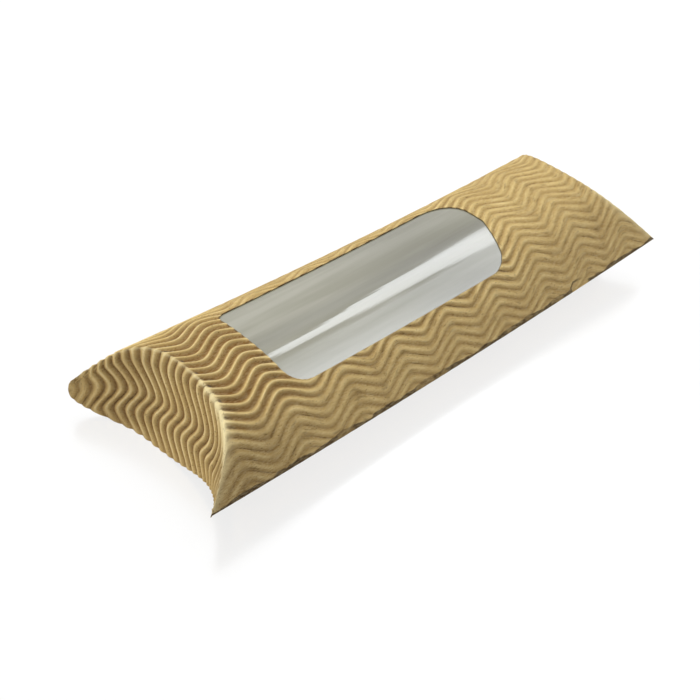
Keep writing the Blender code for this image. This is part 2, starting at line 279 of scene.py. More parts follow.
class EndSection:
    """The section of a panel at one end, tabulated by its share of the flat half width."""

    def __init__(
        self, shape: Callable[[Array], Array], half_span: float, height: float, middle: float = 0.0
    ) -> None:
        """Tabulate the section.

        Args:
            shape: Height share over the span.
            half_span: Half of the section's span.
            height: Height of the section.
            middle: Place across of its middle.
        """
        self.reach = np.linspace(-SECTION_REACH, SECTION_REACH, SECTION_POINTS)
        self.half_span = half_span
        self.across = middle + half_span * self.reach
        self.up = height * shape(self.reach)
        length = np.concatenate([[0], np.cumsum(np.hypot(np.diff(self.across), np.diff(self.up)))])
        length -= np.interp(0, self.reach, length)
        self.half_width = float(np.interp(1, self.reach, length))
        self.share = length / self.half_width

    def at(self, share: Array) -> tuple[Array, Array]:
        """Place across and height over the folds at a share of the width."""
        return np.interp(share, self.share, self.across), np.interp(share, self.share, self.up)

    def edge_slope(self) -> float:
        """Slope of the section at its fold, in radians."""
        rise, run = (np.interp(1, self.reach, np.gradient(v, self.reach)) for v in (self.up, self.across))
        return math.atan2(abs(rise), run)


class Wrap:
    """A panel of the sleeve and the flaps at its two creases, as one rounded surface."""

    def __init__(
        self, sizes: SleeveSizes, left: EndSection, right: EndSection, facing: int, turns: dict[End, Array]
    ) -> None:
        """Make the surface from its two end sections.

        Args:
            sizes: Sizes of the sleeve.
            left: Section at the left end.
            right: Section at the right end.
            facing: 1 for the top, -1 for the bottom.
            turns: Direction in which the flap leaves each crease.
        """
        self.sizes = sizes
        self.sections = {End.LEFT: left, End.RIGHT: right}
        self.facing = facing
        self.turns = turns
        self.half_width = left.half_width
        self.neighbour: "Wrap | None" = None

    def crease_point(self, share: Array, end: End) -> Array:
        """Points of a curved crease.

        Args:
            share: Shares of the panel's half width.
            end: Which end's crease.

        Returns:
            One point for each share.
        """
        across, up = self.sections[end].at(share)
        along = end.value * (self.sizes.half_length - self.crease_inset(across, end))
        return np.stack([along, across, up + self.sizes.side_height], axis=-1)

    def crease_points(self, across: Array) -> tuple[Array, Array]:
        """Points of the left and the right crease at places across the flat blank."""
        left, right = (self.crease_point(across / self.half_width, end) for end in End)
        return left, right

    def crease_inset(self, across: Array, end: End) -> Array:
        """How far a crease lies inside the ears, by its place across."""
        depth = self.sizes.left_crease_depth if end is End.LEFT else self.sizes.right_crease_depth
        return depth * self.sizes.crown(across / crown_half_span(end))

    def past(self, across: Array, along: Array, end: End) -> Array:
        """Distance on the blank past a crease, towards the end of the box."""
        root = self.crease_point(across / self.half_width, end)
        return end.value * (along - root[:, 0])

    def flat_base(self, across: Array, along: Array) -> Array:
        """Panel before its folds are rounded, carried straight on past them.

        Args:
            across: Places across the flat blank.
            along: Places along it.

        Returns:
            Their points in space.
        """
        start, stop = self.crease_points(across)
        part = ((along - start[:, 0]) / (stop[:, 0] - start[:, 0]))[:, None]
        points = start + (stop - start) * part
        inside = np.clip(part[:, 0], 0, 1)
        bow = self.bow_share(across / self.half_width)
        points[:, 2] -= 4 * self.sizes.side_bow * inside * (1 - inside) * bow
        return points

    def bow_share(self, share: Array) -> Array:
        """Share of the side folds' bow that the panel follows.

        Args:
            share: Shares of the panel's half width.

        Returns:
            1 all over the top, and 1 at the folds to 0 in the middle of the bottom.
        """
        if self.facing > 0:
            return np.ones_like(share)
        left = self.sections[End.LEFT]
        return 1 - self.sizes.dish(np.interp(share, left.share, left.reach))

    def base(self, across: Array, along: Array) -> Array:
        """Surface at the crests, with the creases and the folded side rounded.

        Args:
            across: Places across the flat blank.
            along: Places along it.

        Returns:
            Their points in space.
        """
        points = self.flat_base(across, along)
        start, stop = self.crease_points(across)
        ruling = (stop - start) / (stop[:, :1] - start[:, :1])
        for end in End:
            ramp = soften(self.past(across, along, end), self.sizes.crease_round)
            points += (self.turns[end] - end.value * ruling) * ramp[:, None]
        if self.neighbour is not None:
            ramp = soften(across - self.half_width, self.sizes.fold_round)
            points += self.fold_turn(along) * ramp[:, None]
        return points

    def fold_turn(self, along: Array) -> Array:
        """Change of direction over the folded side, from this panel onto its neighbour.

        Args:
            along: Places along the fold.

        Returns:
            The change at each place.
        """
        step = 1e-5
        edge = np.full_like(along, self.half_width)
        other = np.full_like(along, self.neighbour.half_width)
        before = self.flat_base(edge, along) - self.flat_base(edge - step, along)
        after = self.neighbour.flat_base(other - step, along) - self.neighbour.flat_base(other, along)
        return (after - before) / step

    def outward(self, across: Array, along: Array) -> Array:
        """Directions out of the box.

        Args:
            across: Places across the flat blank.
            along: Places along it.

        Returns:
            A unit normal for each place.
        """
        step = 2e-5
        side = self.base(across + step, along) - self.base(across - step, along)
        lengthwise = self.base(across, along + step) - self.base(across, along - step)
        normal = np.cross(lengthwise, side)
        return normal * self.facing / np.linalg.norm(normal, axis=1)[:, None]

    def place(self, across: Array, along: Array, depth: float) -> Array:
        """Points of the blank, sunk below the crests by depth."""
        return self.base(across, along) - depth * self.outward(across, along)


SLEEVE = SleeveSizes()
FLAPS = FlapSizes()
BOARD = BoardSizes()
WAVE = WaveSizes()
WINDOW = WindowSizes()


def solve_right_half_span() -> float:
    """Fit the higher right section to the width of the left one.

    Returns:
        The half span at which both are as wide when laid flat.
    """
    width = EndSection(SLEEVE.crown, SLEEVE.left_half_span, SLEEVE.left_rise).half_width
    low, high = width / 4, width
    for _ in range(WIDTH_ROUNDS):
        middle = (low + high) / 2
        if EndSection(SLEEVE.crown, middle, SLEEVE.right_rise).half_width < width:
            low = middle
        else:
            high = middle
    return (low + high) / 2


RIGHT_HALF_SPAN = solve_right_half_span()


def crown_half_span(end: End) -> float:
    """Half span of the top at one end."""
    return SLEEVE.left_half_span if end is End.LEFT else RIGHT_HALF_SPAN


def make_surfaces() -> tuple[Wrap, Wrap]:
    """Make the top's and the bottom's surface.

    Returns:
        The top with the outer flaps, and the bottom with the inner flaps.
    """
    crowns = [
        EndSection(SLEEVE.crown, SLEEVE.left_half_span, SLEEVE.left_rise),
        EndSection(SLEEVE.crown, RIGHT_HALF_SPAN, SLEEVE.right_rise),
    ]
    floors = []
    for section in crowns:
        inset = BOARD.lap_depth / math.sin(section.edge_slope())
        floors.append(EndSection(SLEEVE.dish, section.half_span - inset / 2, -SLEEVE.side_height, inset / 2))
    turns = [
        {end: np.array([facing * end.value * math.sin(lean), 0, -facing * math.cos(lean)]) for end in End}
        for facing, lean in ((1, FLAPS.cover_lean), (-1, FLAPS.tuck_lean))
    ]
    top = Wrap(SLEEVE, *crowns, 1, turns[0])
    bottom = Wrap(SLEEVE, *floors, -1, turns[1])
    top.neighbour = bottom
    bottom.neighbour = top
    return top, bottom


class Blank:
    """A flat piece of the blank: a grid on (across, along) that cuts trim."""

    def __init__(
        self,
        wrap: Wrap,
        columns: Sequence[float],
        rows: Sequence[float],
        swaying: bool,
        skew: FlapWave = FlapWave(),
    ) -> None:
        """Draw the grid.

        Args:
            wrap: Surface that the piece is laid on.
            columns: Places across.
            rows: Places along.
            swaying: Whether the columns follow the wave of the flutes.
            skew: How the flutes run askew past the left crease.
        """
        self.wrap = wrap
        self.marks: dict[str, Keep] = {}
        side, line = (values.ravel() for values in np.meshgrid(np.asarray(columns), np.asarray(rows)))
        across = side
        for _ in range(SWAY_ROUNDS if swaying else 0):
            past = np.clip(wrap.past(across, line, End.LEFT), 0, None) if skew.drift else 0 * line
            sideways = WAVE.sideways(skew.along(across, line, past))
            across = side + sideways * wrap.facing - skew.drift * past
        self.points = np.stack([across, line], axis=1)
        count = len(columns)
        self.faces = [
            [first, first + 1, first + count + 1, first + count]
            for row in range(len(rows) - 1)
            for first in range(row * count, row * count + count - 1)
        ]

    def cut(self, keep: Keep) -> None:
        """Cut along the line where keep is zero, and drop where it is negative.

        Args:
            keep: Function of the places across and along.
        """
        value = keep(self.points[:, 0], self.points[:, 1])
        value = np.where(np.abs(value) < CUT_SNAP, 0.0, value)
        crossings: dict[tuple[int, int], int] = {}
        kept: list[list[int]] = []
        total = len(self.points)
        for face in self.faces:
            if all(value[index] >= 0 for index in face):
                if any(value[index] > 0 for index in face):
                    kept.append(face)
                continue
            if all(value[index] <= 0 for index in face):
                continue
            ring: list[int] = []
            for here, there in zip(face, face[1:] + face[:1]):
                if value[here] >= 0:
                    ring.append(here)
                if value[here] * value[there] < 0:
                    edge = (here, there) if value[here] < 0 else (there, here)
                    ring.append(crossings.setdefault(edge, total + len(crossings)))
            if len(ring) > 2:
                kept.append(ring)
        if crossings:
            ends = np.array(list(crossings))
            outer, inner = (self.points[ends[:, side]] for side in (0, 1))
            for _ in range(CUT_ROUNDS):
                middle = (outer + inner) / 2
                good = (keep(middle[:, 0], middle[:, 1]) >= 0)[:, None]
                inner = np.where(good, middle, inner)
                outer = np.where(good, outer, middle)
            self.points = np.concatenate([self.points, inner])
        self.faces = kept

    def cut_laid(self, depth: float, keep: Callable[[Array], Array]) -> None:
        """Cut by a function of the points in space at one depth below the crests."""
        self.cut(lambda across, along: keep(self.wrap.place(across, along, depth)))

    def mesh(self, name: str, depth: float) -> bpy.types.Object:
        """Lay the piece on its surface, and keep what its rules read as attributes.

        Args:
            name: Name of the object.
            depth: Depth of the face below the crests.

        Returns:
            An open sheet with the attributes that its rules and finish read.
        """
        work = bmesh.new()
        verts = [work.verts.new((across, along, 0)) for across, along in self.points]
        for face in self.faces:
            work.faces.new([verts[index] for index in face])
        bmesh.ops.delete(work, geom=[v for v in work.verts if not v.link_faces], context="VERTS")
        keep_largest(work)
        if self.wrap.facing < 0:
            bmesh.ops.reverse_faces(work, faces=work.faces)
        mesh = bpy.data.meshes.new(name)
        work.to_mesh(mesh)
        work.free()
        flat = np.empty(len(mesh.vertices) * 3)
        mesh.vertices.foreach_get("co", flat)
        across, along, _ = flat.reshape(-1, 3).T
        outward = self.wrap.outward(across, along)
        mesh.vertices.foreach_set("co", (self.wrap.base(across, along) - depth * outward).ravel())
        past = np.stack([self.wrap.past(across, along, end) for end in End])
        nearest = np.take_along_axis(past, np.argmin(np.abs(past), axis=0)[None], axis=0)[0]
        store(mesh, "across", across * self.wrap.facing)
        store(mesh, "along", along)
        store(mesh, "past", nearest)
        store(mesh, "fold", np.abs(self.wrap.half_width - across))
        for mark in ("relief", "front", "window"):
            rule = self.marks.get(mark)
            store(mesh, mark, rule(across, along) if rule else np.ones_like(along))
        vectors = mesh.attributes.new("outward", "FLOAT_VECTOR", "POINT")
        vectors.data.foreach_set("vector", outward.ravel())
        return placed(name, mesh)


def placed(name: str, data: bpy.types.ID) -> bpy.types.Object:
    """Make an object of a mesh, lamp or camera, and put it in the scene.

    Args:
        name: Name of the object.
        data: What it shows.

    Returns:
        The object.
    """
    piece = bpy.data.objects.new(name, data)
    bpy.context.scene.collection.objects.link(piece)
    return piece


def store(mesh: bpy.types.Mesh, name: str, values: Array) -> None:
    """Keep one number for each vertex under a name."""
    layer = mesh.attributes.new(name, "FLOAT", "POINT")
    layer.data.foreach_set("value", np.ascontiguousarray(values, dtype=np.float32))


def keep_largest(work: bmesh.types.BMesh) -> None:
    """Drop the scraps that a cut leaves beside the largest body.

    Args:
        work: Mesh to clean.
    """
    unseen = set(work.faces)
    bodies = []
    while unseen:
        body = [unseen.pop()]
        for face in body:
            near = {other for edge in face.edges for other in edge.link_faces} & unseen
            unseen -= near
            body += near
        bodies.append(body)
    bodies.sort(key=len)
    bmesh.ops.delete(work, geom=[face for body in bodies[:-1] for face in body], context="FACES")


class Value:
    """An output of a node tree, reckoned with like a plain number."""

    def __init__(self, tree: "Tree", socket: bpy.types.NodeSocket) -> None:
        """Keep the output and its tree."""
        self.tree = tree
        self.socket = socket

    def __add__(self, other: object) -> "Value":
        """Add a number."""
        return self.tree.math("ADD", self, other)

    def __sub__(self, other: object) -> "Value":
        """Take a number away."""
        return self.tree.math("SUBTRACT", self, other)

    def __rsub__(self, other: object) -> "Value":
        """Take this away from a number."""
        return self.tree.math("SUBTRACT", other, self)

    def __mul__(self, other: object) -> "Value":
        """Multiply by a number."""
        return self.tree.math("MULTIPLY", self, other)

    def __truediv__(self, other: object) -> "Value":
        """Divide by a number."""
        return self.tree.math("DIVIDE", self, other)

    def __pow__(self, other: object) -> "Value":
        """Raise to a power."""
        return self.tree.math("POWER", self, other)

    def or_more(self, other: object) -> "Value":
        """The larger of this and a number."""
        return self.tree.math("MAXIMUM", self, other)

    def or_less(self, other: object) -> "Value":
        """The smaller of this and a number."""
        return self.tree.math("MINIMUM", self, other)

    def ramp(self, low: float, high: float, start: object = 0.0, stop: object = 1.0) -> "Value":
        """Map smoothly from one range onto another."""
        values = (self, low, high, start, stop)
        return self.tree.call("ShaderNodeMapRange", *values, interpolation_type="SMOOTHSTEP")

    def bell(self, reach: object) -> "Value":
        """1 where this is 0, falling smoothly to 0 over a reach."""
        ratio = self / reach
        return self.tree.math("EXPONENT", ratio * ratio * -1.0)


class Tree:
    """A short hand for building a node tree."""

    def __init__(self, tree: bpy.types.NodeTree) -> None:
        """Keep the tree that nodes are added to."""
        self.tree = tree

    def node(self, kind: str, **settings: object) -> bpy.types.Node:
        """Add a node and set its properties.

        Args:
            kind: Type of the node.
            **settings: Its properties.

        Returns:
            The node.
        """
        node = self.tree.nodes.new(kind)
        for name, value in settings.items():
            setattr(node, name, value)
        return node

    def feed(self, socket: bpy.types.NodeSocket, value: object) -> None:
        """Link a socket to an output, or set its value.

        Args:
            socket: Input to feed.
            value: An output, or a plain value.
        """
        value = value.socket if isinstance(value, Value) else value
        if isinstance(value, bpy.types.NodeSocket):
            self.tree.links.new(value, socket)
        else:
            socket.default_value = value

    def call(
        self,
        kind: str,
        *values: object,
        output: int | str = 0,
        named: dict[str, object] | None = None,
        **settings: object,
    ) -> Value:
        """Add a node, feed it and give back one of its outputs.

        Args:
            kind: Type of the node.
            *values: What feeds its first inputs.
            output: Which output is wanted.
            named: What feeds other inputs, by name.
            **settings: Its properties.

        Returns:
            The output.
        """
        node = self.node(kind, **settings)
        for socket, value in zip(node.inputs, values):
            self.feed(socket, value)
        for name, value in (named or {}).items():
            self.feed(node.inputs[name], value)
        return Value(self, node.outputs[output])

    def math(self, operation: str, *values: object, clamp: bool = False) -> Value:
        """Result of a math node."""
        return self.call("ShaderNodeMath", *values, operation=operation, use_clamp=clamp)

    def vector(self, operation: str, *values: object, output: str = "Vector") -> Value:
        """Result of a vector math node."""
        return self.call("ShaderNodeVectorMath", *values, output=output, operation=operation)

    def scaled(self, vector: object, amount: object) -> Value:
        """A vector times a number."""
        return self.call("ShaderNodeVectorMath", vector, named={"Scale": amount}, operation="SCALE")

    def noise(self, scale: float, detail: float, **inputs: object) -> Value:
        """Noise from 0 to 1, by its place and seed."""
        named = {"Scale": scale, "Detail": detail, **inputs}
        return self.call("ShaderNodeTexNoise", named=named, noise_dimensions="4D" if "W" in inputs else "3D")

    def read(self, name: str, kind: str = "FLOAT") -> Value:
        """What is kept on the mesh under a name.

        Args:
            name: Name of the attribute.
            kind: Its type.

        Returns:
            Its value, in a tree of either sort.
        """
        if self.tree.bl_idname == "GeometryNodeTree":
            return self.call("GeometryNodeInputNamedAttribute", name, output="Attribute", data_type=kind)
        return self.call("ShaderNodeAttribute", output="Fac", attribute_name=name)

    def mix(self, share: object, low: object, high: object) -> Value:
        """Mix two colours.

        Args:
            share: Share of the second.
            low: The first, as an output or three numbers.
            high: The second.

        Returns:
            The mixed colour.
        """
        node = self.node("ShaderNodeMix", data_type="RGBA")
        for place, value in ((0, share), (6, low), (7, high)):
            self.feed(node.inputs[place], (*value, 1) if isinstance(value, tuple) else value)
        return Value(self, node.outputs[2])

    def bump(self, shader: bpy.types.Node, height: Value, strength: float, distance: float) -> None:
        """Give a shader a fine relief."""
        named = {"Strength": strength, "Distance": distance, "Height": height}
        self.feed(shader.inputs["Normal"], self.call("ShaderNodeBump", named=named))


def new_material(name: str, **inputs: object) -> tuple[bpy.types.Material, Tree, bpy.types.Node]:
    """Make a material.

    Args:
        name: Name of the material.
        **inputs: Inputs of its shader that are the same all over, with _ for spaces.

    Returns:
        The material, its tree and its shader.
    """
    material = bpy.data.materials.new(name)
    material.use_nodes = True
    shader = material.node_tree.nodes["Principled BSDF"]
    for title, value in inputs.items():
        shader.inputs[title.replace("_", " ")].default_value = value
    return material, Tree(material.node_tree), shader


class PaperPly:
    """Geometry Nodes that turn a laid sheet into a ply of paper."""

    def __init__(self, name: str, **inputs: float) -> None:
        """Build the tree once.

        Args:
            name: Name of the tree.
            **inputs: Its number inputs and their values, with _ for spaces.
        """
        self.group = bpy.data.node_groups.new(name, "GeometryNodeTree")
        self.sockets: dict[str, str] = {}
        self._socket("Geometry", "NodeSocketGeometry")
        for title, value in inputs.items():
            self._socket(title, "NodeSocketFloat").default_value = value
        self._socket("Material", "NodeSocketMaterial")
        self.group.interface.new_socket("Geometry", in_out="OUTPUT", socket_type="NodeSocketGeometry")
        tree = Tree(self.group)
        enter = dict(zip(self.sockets, (Value(tree, socket) for socket in tree.node("NodeGroupInput").outputs)))
        outward = tree.read("outward", "FLOAT_VECTOR")
        shaped = self._shape(tree, enter, outward)
        real = tree.call("GeometryNodeRealizeInstances", self._thicken(tree, shaped, outward, enter["Ply"]))
        dressed = tree.call("GeometryNodeSetMaterial", named={"Geometry": real, "Material": enter["Material"]})
        tree.feed(tree.node("NodeGroupOutput").inputs[0], dressed)

    def _socket(self, title: str, kind: str) -> bpy.types.NodeTreeInterfaceSocket:
        """Add a named input and keep its identifier.

        Args:
            title: Name of the input, with _ for spaces.
            kind: Type of the input.

        Returns:
            The input.
        """
        name = title.replace("_", " ")
        socket = self.group.interface.new_socket(name, in_out="INPUT", socket_type=kind)
        self.sockets[title] = socket.identifier
        return socket

    def _shape(self, tree: Tree, enter: dict[str, Value], outward: Value) -> Value:
        """Shape the open sheet, each kind of ply in its own way."""
        raise NotImplementedError

    @staticmethod
    def _thicken(tree: Tree, sheet: Value, outward: Value, ply: Value) -> Value:
        """Close an open sheet into a ply with flat cut edges.

        Args:
            tree: Tree to build in.
            sheet: The open sheet.
            outward: Direction out of the box.
            ply: Thickness of the paper.

        Returns:
            The closed ply.
        """
        inward = tree.scaled(outward, ply * -1.0)
        grown = tree.node("GeometryNodeExtrudeMesh", mode="FACES")
        turned = tree.call("GeometryNodeFlipFaces", sheet)
        for name, value in (("Mesh", turned), ("Offset", inward), ("Offset Scale", 1.0), ("Individual", False)):
            tree.feed(grown.inputs[name], value)
        named = {"Geometry": grown.outputs["Mesh"], "Selection": grown.outputs["Side"], "Shade Smooth": False}
        sides = tree.call("GeometryNodeSetShadeSmooth", named=named, domain="FACE")
        join = tree.node("GeometryNodeJoinGeometry")
        for part in (sides, sheet):
            tree.feed(join.inputs[0], part)
        return tree.call("GeometryNodeMergeByDistance", named={"Geometry": join.outputs[0], "Distance": 1e-6})

    @staticmethod
    def _moved(tree: Tree, sheet: Value, outward: Value, amount: Value) -> Value:
        """Move a sheet out of the box by an amount."""
        named = {"Geometry": sheet, "Offset": tree.scaled(outward, amount)}
        return tree.call("GeometryNodeSetPosition", named=named)

    def apply(self, sheet: bpy.types.Object, material: bpy.types.Material, **values: float) -> bpy.types.Object:
        """Run the tree on a laid sheet.

        Args:
            sheet: Open sheet with its attributes.
            material: Finish of the ply.
            **values: Inputs of the tree by name, with _ for spaces.

        Returns:
            A plain mesh object under the sheet's name, in place of the sheet.
        """
        modifier = sheet.modifiers.new("ply", "NODES")
        modifier.node_group = self.group
        for title, value in {"Material": material, **values}.items():
            modifier[self.sockets[title]] = value
        name, old = sheet.name, sheet.data
        graph = bpy.context.evaluated_depsgraph_get()
        mesh = bpy.data.meshes.new_from_object(sheet.evaluated_get(graph), depsgraph=graph)
        bpy.data.objects.remove(sheet, do_unlink=True)
        bpy.data.meshes.remove(old)
        mesh.name = name
        mesh.materials.clear()
        mesh.materials.append(material)
        return placed(name, mesh)


class FlutedPly(PaperPly):
    """Geometry Nodes that raise wavy flutes on a laid sheet and give it a thickness."""

    crest_sharpness = 14.0
    waver_scale = 95.0
    crumple_scale = 900.0
    pressed_reach = 0.0010
    window_press = 1.45
    score_place = 0.0004
    score_shift = 0.0010
    score_reach = 0.0010
    score_spread = 0.0022
    score_gain = 0.22

    def __init__(self) -> None:
        """Build the tree once."""
        super().__init__(
            "fluted_ply",
            Pitch=BOARD.pitch,
            Flute_Height=BOARD.flute_height,
            Ply=BOARD.flute_ply,
            Wave_Length=WAVE.length,
            Wave_Swing=WAVE.swing,
            Wave_Start=WAVE.start,
            Half_Width=0.0,
            Ridge_Power=1.5,
            Broad_Power=0.55,
            Crushed_Share=0.60,
            Press=0.00012,
            Waver=0.00030,
            Kink=0.00012,
            Drift=0.0,
            Tilt=0.0,
            Lag=0.0,
            Seed=3.0,
        )

    def _shape(self, tree: Tree, enter: dict[str, Value], outward: Value) -> Value:
        """Raise the flutes, and keep what their finish reads.

        Args:
            tree: Tree to build in.
            enter: Its inputs by name.
            outward: Direction out of the box.

        Returns:
            The sheet with its flutes.
        """
        names = ("across", "along", "past", "fold", "relief", "window")
        across, along, past, fold, relief, window = (tree.read(name) for name in names)
        plan = FlapWave()
        beyond = past.or_more(0.0)
        tilted = (across - plan.pivot) * beyond.ramp(0.0, plan.settled) * enter["Tilt"]
        lag = beyond.ramp(plan.lag_from, plan.lag_until) * enter["Lag"]
        turns = (along + tilted - lag - enter["Wave_Start"]) / enter["Wave_Length"]
        bends = (along, WAVE.soft_until, WAVE.sharp_from, WAVE.soft_corner, WAVE.sharp_corner)
        corner = tree.call("ShaderNodeMapRange", *bends)
        wave = tree.math("COSINE", turns * FULL_TURN)
        sideways = tree.math("ARCSINE", wave * corner) / tree.math("ARCSINE", corner)
        waver = self._rough(tree, self.waver_scale, enter["Seed"]) * relief.ramp(0.9, 0.4, 1.0, 2.2)
        swing = sideways * enter["Wave_Swing"] + waver * enter["Waver"] - beyond * enter["Drift"]
        phase = (across - swing + enter["Half_Width"]) / enter["Pitch"]
        height = tree.math("COSINE", phase * FULL_TURN) * -0.5 + 0.5
        height = height ** relief.ramp(0.45, 0.95, enter["Broad_Power"], enter["Ridge_Power"])
        kink = tree.math("ABSOLUTE", wave) ** self.crest_sharpness
        crumple = kink * self._rough(tree, self.crumple_scale, enter["Seed"] + 7.0) * enter["Kink"]
        low = across.ramp(0.0, LOW_SIDE)
        score = past - (low * self.score_shift + self.score_place)
        scored = score.bell(low * self.score_spread + self.score_reach)
        crush = scored.or_more(fold.bell(self.pressed_reach))
        crush = crush.or_more(window.bell(self.pressed_reach) * self.window_press)
        valley = (1.0 - height) * (enter["Flute_Height"] * relief)
        left = (1.0 - crush * (low * self.score_gain + enter["Crushed_Share"])).or_more(0.1)
        depth = (valley * left + crush * enter["Press"] + crumple).or_more(0.0)
        sheet = self._moved(tree, enter["Geometry"], outward, depth * -1.0)
        slant = tree.math("SINE", turns * FULL_TURN)
        kept = {"crest": height, "kink": kink, "slant": slant, "turns": turns, "phase": phase}
        for name, value in kept.items():
            named = {"Geometry": sheet, "Name": name, "Value": value}
            sheet = tree.call("GeometryNodeStoreNamedAttribute", named=named, data_type="FLOAT", domain="POINT")
        return sheet

    @staticmethod
    def _rough(tree: Tree, scale: float, seed: Value) -> Value:
        """Noise between -1 and 1 over the laid sheet."""
        return tree.noise(scale, 2.0, W=seed) * 2.0 + -1.0


class PlainPly(PaperPly):
    """Geometry Nodes that close a smooth laid sheet into a ply."""

    crease_reach = 0.0012
    edge_reach = 0.0011
    window_flat = 0.0006

    def __init__(self) -> None:
        """Build the tree once."""
        super().__init__("plain_ply", Ply=BOARD.liner_ply, Crushed_Depth=0.0)

    def _shape(self, tree: Tree, enter: dict[str, Value], outward: Value) -> Value:
        """Lift the sheet where the flutes over it are pressed flat.

        Args:
            tree: Tree to build in.
            enter: Its inputs by name.
            outward: Direction out of the box.

        Returns:
            The lifted sheet.
        """
        past, fold, window = (tree.read(name) for name in ("past", "fold", "window"))
        crush = past.bell(self.crease_reach).or_more(fold.bell(self.edge_reach))
        crush = crush.or_more((window - self.window_flat).or_more(0.0).bell(self.edge_reach))
        return self._moved(tree, enter["Geometry"], outward, crush * enter["Crushed_Depth"])


@dataclass(frozen=True)
class Grain:
    """Shader node group for the fibres, mottling and specks of paper."""

    name: str = "paper_grain"
    mottle_scale: float = 110.0
    strand_scale: float = 3400.0
    strand_stretch: float = 0.14
    strand_turns: tuple[Span, ...] = ((0.5, 0.0), (-0.7, 0.3), (1.5, 0.7))
    speck_scale: float = 2100.0
    fine_scale: float = 5200.0

    def group(self) -> bpy.types.NodeTree:
        """The group, built on its first use.

        Returns:
            A group that puts out Mottle, Fibres, Specks and Height.
        """
        if self.name in bpy.data.node_groups:
            return bpy.data.node_groups[self.name]
        group = bpy.data.node_groups.new(self.name, "ShaderNodeTree")
        tree = Tree(group)
        place = tree.call("ShaderNodeTexCoord", output="Object")
        strands = []
        for turn, seed in self.strand_turns:
            named = {
                "Vector": place,
                "Location": (seed, seed, seed),
                "Rotation": (0.2, 0.1, turn),
                "Scale": (self.strand_stretch, 1.0, 1.0),
            }
            turned = tree.call("ShaderNodeMapping", named=named)
            strands.append(tree.noise(self.strand_scale, 1.0, Vector=turned))
        fibres = strands[0].or_more(strands[1]).or_more(strands[2]).ramp(0.50, 0.72)
        leave = {
            "Mottle": tree.noise(self.mottle_scale, 3.0, Vector=place),
            "Fibres": fibres,
            "Specks": tree.noise(self.speck_scale, 0.0, Vector=place).ramp(0.70, 0.80),
            "Height": fibres * 0.6 + tree.noise(self.fine_scale, 2.0, Vector=place) * 0.4,
        }
        for name in leave:
            group.interface.new_socket(name, in_out="OUTPUT", socket_type="NodeSocketFloat")
        for socket, value in zip(tree.node("NodeGroupOutput").inputs, leave.values()):
            tree.feed(socket, value)
        return group


